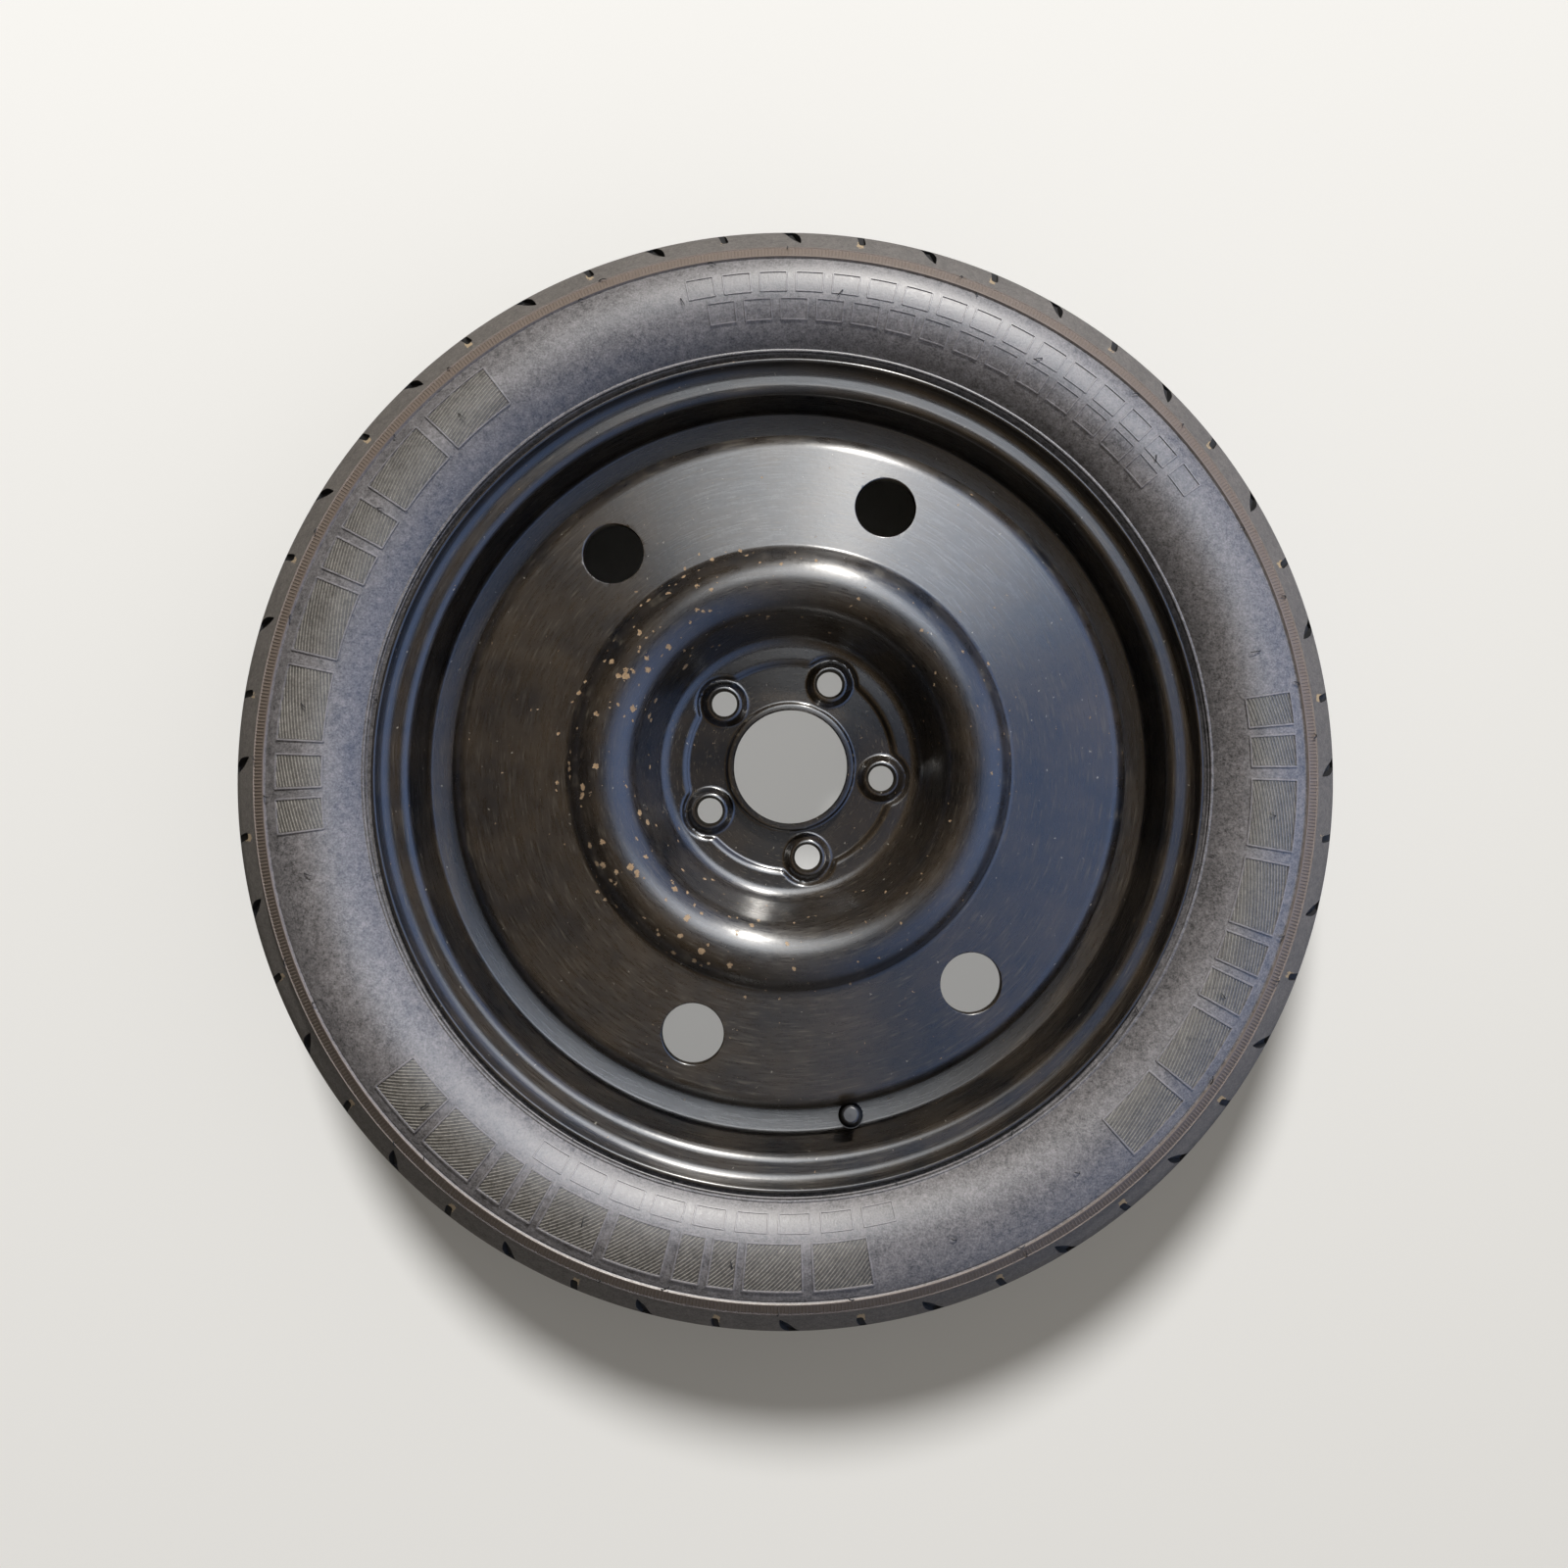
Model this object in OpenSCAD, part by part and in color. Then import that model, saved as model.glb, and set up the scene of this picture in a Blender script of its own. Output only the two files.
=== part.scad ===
// Temporary spare tyre on its pressed-steel wheel, lying flat with the outboard face up.
// The origin is the wheel's centre, where its axis meets the rim's middle plane. +Z points outboard.

/* [Tyre] */
// Height of the section from the bead seats to the tread
section_h = 113.1; // [110:0.1:117]
// Section width over the sidewalls
section_w = 165; // [158:0.5:174]
// Height over the bead seats at which the sidewall is widest
widest_h = 54; // [50:0.5:58]
// Radius of the sidewall's arc in section
sidewall_bend = 43; // [40:0.5:46]
// Thickness of the sidewall
sidewall_t = 7; // [5:0.25:9]
// Radius of the tread's arc in section
tread_bend = 120; // [100:1:160]
// Half of the tread's width
tread_half = 55; // [50:0.5:58]
// Thickness of rubber and cords under the tread
tread_t = 12; // [10:0.25:15]
// Rounding where the tread turns into the shoulder
shoulder_bend = 5; // [3:0.5:8]
// Width of each groove round the tread
groove_w = 5; // [3:0.5:8]
// Depth of the grooves and of the long shoulder notches
groove_depth = 3.6; // [2:0.2:5]
// Depth of the short shoulder notches
notch_short_depth = 2.5; // [1.5:0.1:4]
// Distance of the inner pair of grooves from the middle of the tread
groove_inner = 13; // [8:0.5:17]
// Distance of the outer pair of grooves from the middle of the tread
groove_outer = 37; // [30:0.5:42]
// Notches round each shoulder, alternately long and short
notch_count = 48; // [12:2:60]
// Length of a long notch down the shoulder
notch_long = 17; // [10:0.5:18]
// Length of a short notch down the shoulder
notch_short = 10; // [4:0.5:14]
// Width of a shoulder notch
notch_w = 3.2; // [2:0.2:5]
// Width of the bead where it sits on the rim
bead_w = 19; // [15:0.5:21]
// Height of the rib that runs round the sidewall beside the rim
rim_rib = 1; // [0.6:0.1:1.6]
// Height of the two ribs at the edges of the shoulder's band
shoulder_rib = 1; // [0.6:0.1:1.4]
// Height of the band between those ribs
shoulder_band = 0.4; // [0.2:0.1:0.6]

/* [Rim] */
// Width between the faces on which the beads rest
rim_w = 114.3; // [112:0.1:117]
// Diameter of the bead seats at the flanges
seat_d = 462; // [460:0.1:464]
// Taper of the bead seats, in degrees
seat_taper = 5; // [3:0.5:7]
// Thickness of the rim's sheet
rim_t = 2.6; // [2.2:0.1:3]
// Height of the flanges over the bead seats
flange_h = 17.5; // [16:0.1:19]
// Radius of the flange's curl on the tyre's side
flange_bend = 9.5; // [8:0.1:11]
// Radius of the bend between bead seat and flange on the tyre's side
foot_bend = 3.5; // [2.5:0.1:5]
// Straight end of the flange's curl
lip_len = 1.4; // [0.6:0.1:3]
// Depth from the bead seats to the well's inner face, which the disc is pressed into
well_drop = 23.4; // [21:0.1:26]
// Radius of the bend at the well's edge on the hub's side
well_bend = 5; // [4:0.1:7]
// Distance from the middle plane to the corner between ledge and bead seat
ledge_h = 24.5; // [22:0.1:27]
// Slope of the ledge that carries the valve, in degrees
ledge_slope = 13.5; // [10:0.5:20]
// Radius of the bend between ledge and bead seat on the hub's side
ledge_bend = 4; // [3:0.1:6]

/* [Disc] */
// Distance from the tyre's middle plane out to the mounting face
offset_et = 21; // [14:0.5:26]
// Thickness of the disc's sheet
disc_t = 3.8; // [3.2:0.1:4.4]
// Diameter of the hub bore
hub_d = 70.5; // [66:0.1:74]
// Height of the drawn collar round the hub bore over the mounting face
collar_h = 11.8; // [9.5:0.1:14]
// Radius of the bend at the foot of the collar
collar_bend = 2.5; // [2:0.1:4]
// Distance from the bolt circle out to the foot of the bowl's wall
floor_out = 17.4; // [16.5:0.1:20]
// Distance from the foot of the bowl's wall in to the outer band's inner edge
band_in = 12.05; // [11:0.05:14]
// Rise of the outer band over the floor
band_h = 2.2; // [2.1:0.1:3]
// Slope of the bowl's wall, in degrees
bowl_slope = 70; // [62:1:76]
// Radius of the bend between the floor and the bowl's wall
bowl_bend = 9; // [6:0.5:12]
// Height of the crown over the mounting face
crown_h = 52; // [46:0.5:56]
// Radius of the crown's bend
crown_bend = 22; // [18:0.5:24]
// Slope of the crown's outer side, in degrees
crown_slope = 60; // [50:1:65]
// Drop of the crown's outer side below its crown
crown_drop = 14; // [12.6:0.1:17]
// Radius of the bend at the foot of the crown's outer side
foot_ring_bend = 5; // [4:0.5:8]
// Slope of the flat ring that holds the vents, in degrees
ring_slope = 8; // [5:0.5:11]
// Radius of the bend between the ring and the skirt
skirt_bend = 13; // [10:0.5:16]
// Lowest edge of the skirt, below the mounting face
skirt_end = 22; // [19:0.5:26]
// Diameter of the vents
vent_d = 37; // [30:0.5:42]
// Distance from the well in to the middle of the vents
vent_in = 38.1; // [35:0.1:42]
// Angle of the first vent, counter-clockwise from +X
vent_angle = 70; // [60:1:80]
// Length of each weld between disc and rim, in degrees
weld_arc = 34; // [20:1:50]
// Leg of the weld's section
weld_leg = 3.6; // [2.6:0.1:3.8]
// Number of welds
weld_count = 6; // [4:1:7]

/* [Wheel nuts] */
// Diameter of the circle through the bolt holes
bolt_circle_d = 114.3; // [110:0.1:118]
// Number of bolt holes
bolt_count = 5; // [4:1:5]
// Angle of the first bolt hole, counter-clockwise from +X
bolt_angle = 64.7; // [55:0.1:75]
// Diameter of the bolt holes
bolt_hole_d = 15.5; // [14:0.1:16]
// Largest diameter of the cone that the nut seats in
nut_seat_d = 20.4; // [19:0.1:21]
// Included angle of the nut's cone, in degrees
nut_cone = 60; // [60:5:90]
// Height of the boss round each bolt hole over the floor
boss_h = 4.6; // [4:0.1:6]
// Diameter of the boss at its foot
boss_d = 28; // [26:0.2:30]
// Width of the level ring round the mouth of each nut's cone
boss_ring = 1.4; // [0.8:0.1:2]
// Diameter of the level pocket round each boss
pocket_d = 33; // [31:0.2:34]
// Depth of the relief behind each boss
relief_depth = 1.6; // [0.8:0.1:2]

/* [Valve] */
// Angle of the valve round the wheel, counter-clockwise from +X
valve_angle = 280; // [275:1:285]
// Distance from the well's edge out to the valve's hole
valve_out = 10.2; // [9.6:0.1:11]
// Diameter of the valve's hole in the rim
valve_hole_d = 11.5; // [11.2:0.1:11.8]
// Length of the valve above the rim, without its cap
valve_len = 33; // [31:0.5:38]
// Length of the thread that the cap screws on
thread_len = 8; // [7:0.5:10]
// Diameter of that thread
thread_d = 7.7; // [7.6:0.05:7.8]
// Diameter of the rubber at the rim
valve_foot_d = 15.2; // [14.6:0.1:15.8]
// Diameter of the rubber under the thread
valve_neck_d = 9.6; // [9:0.1:10.4]
// Diameter of the valve's head inside the tyre
valve_head_d = 15; // [14.4:0.1:15.6]
// Diameter of the brass stem inside the rubber
stem_d = 7; // [6.6:0.1:7.2]
// Diameter of the bore that the valve core screws into
core_bore_d = 5.3; // [5.2:0.02:5.4]
// Diameter of the air passage under the core
air_d = 3.9; // [3.7:0.05:4.1]
// Diameter of the cap
cap_d = 11; // [10.6:0.1:12]
// Height of the cap
cap_h = 11; // [10.4:0.1:12]
// Grips round the cap
cap_grips = 14; // [10:1:20]
// Diameter of the valve core's pin
pin_d = 1; // [0.9:0.02:1.1]
// Travel of the pin when it is pressed
pin_travel = 1.2; // [0.8:0.1:1.5]

/* [Hidden] */
$fn = 96;

// Finest turn of a bend in section, in degrees
arc_step = 7.5;
// Longest straight piece of a bend in section
arc_piece = 6;
// How far a cutting tool runs past the face that it cuts
over = 2;
// How far a pad stays inside the sheet that it is part of
sunk = 0.1;
// How far a pad reaches past the pocket that it closes
pad_margin = 0.5;
// How far the rim's flat spot reaches past the valve's foot
spot_margin = 0.4;
// Distance between the cap's thread and the stem's thread
cap_clearance = 0.15;
// Distance between the cap's washer and the end of the stem
washer_gap = 0.1;
// Distance between the screwed valve core and its bore
core_clearance = 0.05;

seat_r = seat_d / 2;
tyre_r = seat_r + section_h;
widest_r = seat_r + widest_h;
well_r = seat_r - well_drop;
valve_r = well_r + valve_out;
vent_r = well_r - vent_in;
hub_r = hub_d / 2;
bolt_r = bolt_circle_d / 2;
bead_face = rim_w / 2;
// Radius of the seat's inner face at the ledge, where the taper has run in
ledge_r = seat_r - rim_t - (bead_face - ledge_h) * tan(seat_taper);

// Points along an arc, with pieces no coarser than arc_step and arc_piece
function arc(centre, r, from, to) =
    let (
        turn = abs(to - from),
        n = max(2, ceil(turn / arc_step), ceil(turn * PI / 180 * r / arc_piece))
    )
    [for (i = [0:n]) let (a = from + (to - from) * i / n) centre + r * [cos(a), sin(a)]];

function reversed(points) = [for (i = [len(points) - 1:-1:0]) points[i]];

// One face of a bent sheet. A bend is [centre, radius of the near face, from, to, side].
// Its side is 1 where the sheet lies towards the centre and -1 where it lies away from it.
function sheet_face(bends, depth) =
    [for (b = bends) each arc(b[0], b[1] - b[4] * depth, b[2], b[3])];

// Outline of a sheet with straight ends. Each end is [point on the near face, step to the far face].
function sheet(bends, thickness, first, last) = concat(
    [first[0]],
    sheet_face(bends, 0),
    [last[0]],
    [last[0] + last[1]],
    reversed(sheet_face(bends, thickness)),
    [first[0] + first[1]]
);

module revolve(points) {
    rotate_extrude()
        polygon(points);
}

// Places children at a radius and an angle round the wheel's axis
module around(r, angle, z = 0) {
    rotate([0, 0, angle])
        translate([r, 0, z])
            children();
}

// Places children on the valve's axis, with its origin on the ledge's outer face
module on_valve() {
    around(valve_r, valve_angle, valve_z)
        rotate([0, -ledge_slope, 0])
            children();
}

// Height of the ledge under the valve, in the wheel's frame
valve_z = ledge_h - (ledge_r - valve_r) * tan(ledge_slope);

// TYRE

sidewall_centre = [widest_r, section_w / 2 - sidewall_bend];
tread_centre = [tyre_r - tread_bend, 0];
// Where the sidewall's arc turns into the buttress, where the band ends and where the rim's rib is
buttress_turn = 42;
band_turn = 57;
bead_turn = 139;
curl_centre = [seat_r + flange_h - flange_bend, bead_face + flange_bend];
// How far round the flange's curl the rubber follows it
curl_contact = 320;
tread_edge_turn = asin(tread_half / tread_bend);
tread_end_turn = tread_edge_turn - shoulder_bend / tread_bend * 180 / PI;
tread_edge = tread_centre + tread_bend * [cos(tread_edge_turn), sin(tread_edge_turn)];
buttress_end = sidewall_centre + sidewall_bend * [cos(buttress_turn), sin(buttress_turn)];
buttress_dir = (buttress_end - tread_edge) / norm(buttress_end - tread_edge);
seat_slope = tan(seat_taper);

// Corner rounded between two points, with the corner as the curve's handle
function rounded(from, corner, to, n = 4) =
    [for (i = [0:n]) let (t = i / n)
        (1 - t) * (1 - t) * from + 2 * t * (1 - t) * corner + t * t * to];

// Point on the sidewall's arc, at a height over it
function on_sidewall(turn, height = 0) =
    sidewall_centre + (sidewall_bend + height) * [cos(turn), sin(turn)];

// Rib round the sidewall, from one turn to another, with sloped sides
function sidewall_rib(from, to, height, foot_1, foot_2) =
    let (side = 0.7)
    [
        on_sidewall(from - side, foot_1),
        on_sidewall(from, height),
        on_sidewall(to, height),
        on_sidewall(to + side, foot_2)
    ];

// Half of the tyre's outer face, from the middle of the tread to the rim
function tyre_outer() = concat(
    arc(tread_centre, tread_bend, 0, tread_end_turn),
    rounded(
        tread_centre + tread_bend * [cos(tread_end_turn), sin(tread_end_turn)],
        tread_edge,
        tread_edge + shoulder_bend * buttress_dir
    ),
    sidewall_rib(buttress_turn, buttress_turn + 1, shoulder_rib, 0, shoulder_band),
    [on_sidewall((buttress_turn + band_turn) / 2, shoulder_band)],
    sidewall_rib(band_turn - 1.4, band_turn, shoulder_rib, shoulder_band, -shoulder_band),
    arc(sidewall_centre, sidewall_bend, band_turn + 2.5, bead_turn - 4),
    sidewall_rib(bead_turn - 2, bead_turn - 0.5, rim_rib, 0, -shoulder_band),
    [on_sidewall(bead_turn + 2)]
);

// Half of the face that rests on the rim, from the flange's curl to the bead's toe
function bead_face_points() = concat(
    arc(curl_centre, flange_bend, curl_contact, 270),
    arc([seat_r + foot_bend, bead_face - foot_bend], foot_bend, 90, 180 - seat_taper)
);

// Rounding of the bead's toe, and thickness of rubber over the bead's wire
toe_bend = 2;
bead_t = 8;

// Half of the tyre's lining, from the bead's toe to the middle of the tread
function tyre_lining() = concat(
    rounded(
        [seat_r - bead_w * seat_slope, bead_face - bead_w],
        [seat_r - bead_w * seat_slope, bead_face - bead_w - toe_bend],
        [seat_r - bead_w * seat_slope + toe_bend, bead_face - bead_w - toe_bend]
    ),
    [[seat_r + bead_t, bead_face - bead_w]],
    arc(sidewall_centre, sidewall_bend - sidewall_t, bead_turn + 11, buttress_turn - 4),
    arc(tread_centre, tread_bend - tread_t, tread_end_turn - 1, 0)
);

function tyre_half() = concat(tyre_outer(), bead_face_points(), tyre_lining());

function flipped(points) = [for (p = reversed(points)) [p[0], -p[1]]];

// Cut across the shoulder with a round nose, from the tread's edge down the buttress
module shoulder_notch(length, depth) {
    past_edge = 8;
    nose = notch_w / 2;
    translate([tread_edge[0], 0, tread_edge[1]])
        rotate([0, 45, 0])
            translate([nose - length, 0, -depth]) {
                translate([0, -nose, 0])
                    cube([length - nose + past_edge, notch_w, 2 * depth]);
                cylinder(r = nose, h = 2 * depth);
            }
}

module tyre_body() {
    revolve(concat(tyre_half(), flipped(tyre_half())));
}

// Ring cut square into the tread at a distance from its middle
module tread_groove(at) {
    floor_r = tread_centre[0] + sqrt(tread_bend * tread_bend - at * at) - groove_depth;
    translate([0, 0, at])
        rotate_extrude()
            translate([floor_r, -groove_w / 2])
                square([2 * groove_depth + over, groove_w]);
}

module tyre() {
    color([0.16, 0.17, 0.19])
        difference() {
            tyre_body();
            for (at = [-groove_outer, -groove_inner, groove_inner, groove_outer])
                tread_groove(at);
            for (i = [0:notch_count - 1])
                for (side = [0, 1])
                    rotate([0, 0, i * 360 / notch_count])
                        mirror([0, 0, side])
                            if (i % 2 == 0)
                                shoulder_notch(notch_long, groove_depth);
                            else
                                shoulder_notch(notch_short, notch_short_depth);
        }
}

// RIM

well_turn = 90 + ledge_slope;
ledge_start_r = well_r + well_bend + well_bend * cos(well_turn);
ledge_start_h = ledge_h - (ledge_r - ledge_start_r) * tan(ledge_slope);
// Distance from the virtual corner of ledge and seat to the bend's tangent points
ledge_corner = ledge_bend * tan((90 - ledge_slope - seat_taper) / 2);

// Half of the rim's bends, from the well to the flange, seen from the hub's side
function rim_bends() = [
    [[well_r + well_bend, ledge_start_h - well_bend * sin(well_turn)],
        well_bend, 180, well_turn, 1],
    [[ledge_r - ledge_corner * cos(ledge_slope) - ledge_bend * sin(ledge_slope),
        ledge_h - ledge_corner * sin(ledge_slope) + ledge_bend * cos(ledge_slope)],
        ledge_bend, 270 + ledge_slope, 360 - seat_taper, -1],
    [[seat_r + foot_bend, bead_face - foot_bend],
        foot_bend + rim_t, 180 - seat_taper, 90, 1],
    [curl_centre, flange_bend - rim_t, 270, 360, -1]
];

function rim_near() = concat(
    sheet_face(rim_bends(), 0),
    [[curl_centre[0] + flange_bend - rim_t, curl_centre[1] + lip_len]]
);

function rim_far() = concat(
    sheet_face(rim_bends(), rim_t),
    [[curl_centre[0] + flange_bend, curl_centre[1] + lip_len]]
);

// Rounded end of the flange's curl
function lip_end() = arc(
    [curl_centre[0] + flange_bend - rim_t / 2, curl_centre[1] + lip_len], rim_t / 2, 150, 30
);

function rim_outline() = concat(
    rim_near(),
    lip_end(),
    reversed(rim_far()),
    [for (p = rim_far()) [p[0], -p[1]]],
    [for (p = reversed(lip_end())) [p[0], -p[1]]],
    [for (p = reversed(rim_near())) [p[0], -p[1]]]
);

module rim() {
    color([0.10, 0.10, 0.11])
        difference() {
            revolve(rim_outline());
            on_valve() {
                translate([0, 0, -rim_t - over])
                    cylinder(d = valve_hole_d, h = rim_t + 2 * over);
                // Spot coined flat round the hole, for the valve's foot
                cylinder(d = valve_foot_d + 2 * spot_margin, h = ledge_bend + over);
            }
        }
}

// DISC

// The small bends at the edge of the raised band, and their slope
band_slope = 40;
band_low_bend = 3;
band_high_bend = 5.5;
band_bends = band_low_bend + band_high_bend;
band_run = band_bends * sin(band_slope)
    + (band_h - band_bends * (1 - cos(band_slope))) / tan(band_slope);
band_top = disc_t + band_h;
bowl_foot_r = bolt_r + floor_out;
band_r = bowl_foot_r - band_in;
bowl_foot_rise = bowl_bend * (1 - cos(bowl_slope));
bowl_wall_h = crown_h - crown_bend * (1 - cos(bowl_slope)) - band_top - bowl_foot_rise;
crown_r = bowl_foot_r + (bowl_bend + crown_bend) * sin(bowl_slope)
    + bowl_wall_h / tan(bowl_slope);
crown_centre = [crown_r, crown_h - crown_bend];
crown_side = crown_centre + crown_bend * [sin(crown_slope), cos(crown_slope)];
// Height at which the crown's outer side would meet the ring without its bend
ring_start_h = crown_h - crown_drop;
foot_ring_start = ring_start_h + foot_ring_bend * (cos(ring_slope) - cos(crown_slope));
foot_ring_r = crown_side[0] + (crown_side[1] - foot_ring_start) / tan(crown_slope)
    + foot_ring_bend * sin(crown_slope);
foot_ring_centre = [foot_ring_r, foot_ring_start + foot_ring_bend * cos(crown_slope)];
ring_start = foot_ring_centre - foot_ring_bend * [sin(ring_slope), cos(ring_slope)];
skirt_start_r = well_r - skirt_bend + skirt_bend * sin(ring_slope);
skirt_start_h = ring_start[1] - (skirt_start_r - ring_start[0]) * tan(ring_slope);

// The disc's bends from the hub outwards, seen from the outboard side
function disc_bends() = [
    [[hub_r + disc_t + collar_bend, disc_t + collar_bend], collar_bend, 180, 270, -1],
    [[band_r, disc_t + band_low_bend], band_low_bend, 270, 270 + band_slope, -1],
    [[band_r + band_run, band_top - band_high_bend], band_high_bend, 90 + band_slope, 90, 1],
    [[bowl_foot_r, band_top + bowl_bend], bowl_bend, 270, 270 + bowl_slope, -1],
    [crown_centre, crown_bend, 90 + bowl_slope, 90 - crown_slope, 1],
    [foot_ring_centre, foot_ring_bend, 270 - crown_slope, 270 - ring_slope, -1],
    [[well_r - skirt_bend, skirt_start_h - skirt_bend * cos(ring_slope)],
        skirt_bend, 90 - ring_slope, 0, 1]
];

module pressed_sheet() {
    revolve(sheet(
        disc_bends(),
        disc_t,
        [[hub_r + disc_t, collar_h], [-disc_t, 0]],
        [[well_r, -skirt_end], [-disc_t, 0]]
    ));
}

// Level pad behind the pocket's floor, with the conical boss that a nut seats in
module nut_boss() {
    pad_r = pocket_d / 2 + pad_margin;
    top_r = nut_seat_d / 2 + boss_ring;
    foot_r = boss_d / 2 + (boss_d / 2 - top_r) * sunk / boss_h;
    revolve([
        [0, sunk],
        [pad_r, sunk],
        [pad_r, disc_t - sunk],
        [foot_r, disc_t - sunk],
        [top_r, disc_t + boss_h],
        [0, disc_t + boss_h]
    ]);
}

// Hole, nut cone and the relief behind them
module nut_hole() {
    top = disc_t + boss_h;
    cone_depth = (nut_seat_d - bolt_hole_d) / 2 / tan(nut_cone / 2);
    translate([0, 0, -over])
        cylinder(d = bolt_hole_d, h = top + 2 * over);
    translate([0, 0, top - cone_depth])
        cylinder(d1 = bolt_hole_d, d2 = nut_seat_d, h = cone_depth);
    translate([0, 0, top])
        cylinder(d = nut_seat_d, h = over);
    translate([0, 0, -over])
        cylinder(d = nut_seat_d, h = relief_depth + over);
}

module at_bolts() {
    for (i = [0:bolt_count - 1])
        around(bolt_r, bolt_angle + i * 360 / bolt_count)
            children();
}

// Four of six places, so that two neighbours on each side stay closed
module at_vents() {
    for (i = [0, 1, 3, 4])
        around(vent_r, vent_angle + i * 60)
            children();
}

// The disc with its mounting face at zero height
module disc_body() {
    difference() {
        union() {
            difference() {
                pressed_sheet();
                at_bolts()
                    translate([0, 0, disc_t])
                        cylinder(d = pocket_d, h = band_h + over);
            }
            at_bolts()
                nut_boss();
        }
        at_bolts()
            nut_hole();
        at_vents()
            cylinder(d = vent_d, h = crown_h);
    }
}

module disc() {
    color([0.11, 0.11, 0.12])
        translate([0, 0, offset_et])
            disc_body();
}

// Fillet welds between the lower edge of the disc's skirt and the well
module disc_welds() {
    bulge = 0.65 * weld_leg;
    color([0.13, 0.12, 0.12])
        translate([0, 0, offset_et - skirt_end])
            for (i = [0:weld_count - 1])
                rotate([0, 0, i * 360 / weld_count])
                    rotate_extrude(angle = weld_arc)
                        polygon([
                            [well_r - weld_leg, 0],
                            [well_r, 0],
                            [well_r, -weld_leg],
                            [well_r - bulge, -bulge]
                        ]);
}

// VALVE
// All heights run along the valve's axis from the ledge's outer face.

stem_top = valve_len;
rubber_top = valve_len - thread_len;
stem_bottom = -4;
head_bottom = -10;
// The core hangs from its screwed plug, a little below the top of the stem
plug_top = stem_top - 1.4;
plug_len = 4.1;
plug_bottom = plug_top - plug_len;
core_len = 16.6;
barrel_bottom = plug_top - core_len;
seal_len = 3.4;
seal_top = plug_bottom - 4.5;
seal_bottom = seal_top - seal_len;
barrel_d = air_d - 0.4;
barrel_wall = 0.45;
spring_room_d = barrel_d - 2 * barrel_wall;
barrel_floor = 0.8;
spring_low = barrel_bottom + barrel_floor;
// Length of the spring when the pin is pressed right down
spring_pressed = 4.5;
spring_high = spring_low + spring_pressed + pin_travel;
shoulder_room = 2.4;
pin_top = stem_top - 0.4;
pin_bore_d = pin_d + 0.9;
pin_head = 0.6;
cup_d = air_d - 0.8;
cup_h = 1.5;
seat_thick = 0.8;
spring_wire = 0.36;
spring_turns = 5;
screw_slot_w = 0.8;
screw_slot_h = 1.2;
cap_top_t = 2.5;
washer_thick = 0.9;
cap_bottom = stem_top + washer_gap + washer_thick + cap_top_t - cap_h;
cap_bore_d = thread_d + 2 * cap_clearance;

module valve_body() {
    hole_r = valve_hole_d / 2;
    foot_r = valve_foot_d / 2;
    head_r = valve_head_d / 2;
    neck_r = valve_neck_d / 2;
    color([0.07, 0.07, 0.08])
        on_valve()
            revolve([
                [air_d / 2, head_bottom],
                [head_r - 2.8, head_bottom],
                [head_r, head_bottom + 3.4],
                [head_r, -rim_t - 1.2],
                [head_r - 0.8, -rim_t - 0.1],
                [hole_r, -rim_t - 0.1],
                [hole_r, 0.1],
                [foot_r - 0.3, 0.1],
                [foot_r, 0.8],
                [foot_r, 2],
                [foot_r - 1.4, 5.5],
                [neck_r + 0.6, 12],
                [neck_r, rubber_top - 1],
                [neck_r - 0.5, rubber_top],
                [stem_d / 2, rubber_top],
                [stem_d / 2, stem_bottom],
                [air_d / 2, stem_bottom]
            ]);
}

module valve_stem() {
    chamfer = 0.5;
    color([0.78, 0.62, 0.30])
        on_valve()
            difference() {
                union() {
                    translate([0, 0, stem_bottom])
                        cylinder(d = stem_d, h = rubber_top - stem_bottom);
                    translate([0, 0, rubber_top])
                        cylinder(d = thread_d, h = thread_len - chamfer);
                    translate([0, 0, stem_top - chamfer])
                        cylinder(d1 = thread_d, d2 = thread_d - 2 * chamfer, h = chamfer);
                }
                translate([0, 0, stem_bottom - over])
                    cylinder(d = air_d, h = seal_bottom - stem_bottom + over);
                translate([0, 0, seal_bottom])
                    cylinder(d1 = air_d, d2 = core_bore_d, h = seal_top - seal_bottom);
                translate([0, 0, seal_top])
                    cylinder(d = core_bore_d, h = stem_top - seal_top + over);
            }
}

// Screwed plug, its waist and the barrel that holds the spring
module core_body() {
    color([0.80, 0.66, 0.36])
        on_valve()
            difference() {
                union() {
                    translate([0, 0, plug_bottom])
                        cylinder(d = core_bore_d - 2 * core_clearance, h = plug_top - plug_bottom);
                    translate([0, 0, barrel_bottom])
                        cylinder(d = barrel_d, h = plug_bottom - barrel_bottom);
                }
                translate([0, 0, barrel_bottom - over])
                    cylinder(d = pin_bore_d, h = plug_top - barrel_bottom + 2 * over);
                translate([0, 0, spring_low])
                    cylinder(d = spring_room_d, h = spring_high - spring_low + shoulder_room);
                translate([-core_bore_d, -screw_slot_w / 2, plug_top - screw_slot_h])
                    cube([2 * core_bore_d, screw_slot_w, over + screw_slot_h]);
            }
}

// Tapered seal between the barrel and the stem's cone
module core_seal() {
    gap = 0.02;
    lift = 0.4;
    color([0.75, 0.15, 0.12])
        on_valve()
            difference() {
                translate([0, 0, seal_bottom + lift])
                    cylinder(
                        d1 = air_d + (core_bore_d - air_d) * lift / seal_len - 2 * gap,
                        d2 = core_bore_d - 2 * gap,
                        h = seal_len - lift
                    );
                translate([0, 0, seal_bottom - over])
                    cylinder(d = barrel_d, h = seal_top - seal_bottom + 2 * over);
            }
}

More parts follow.
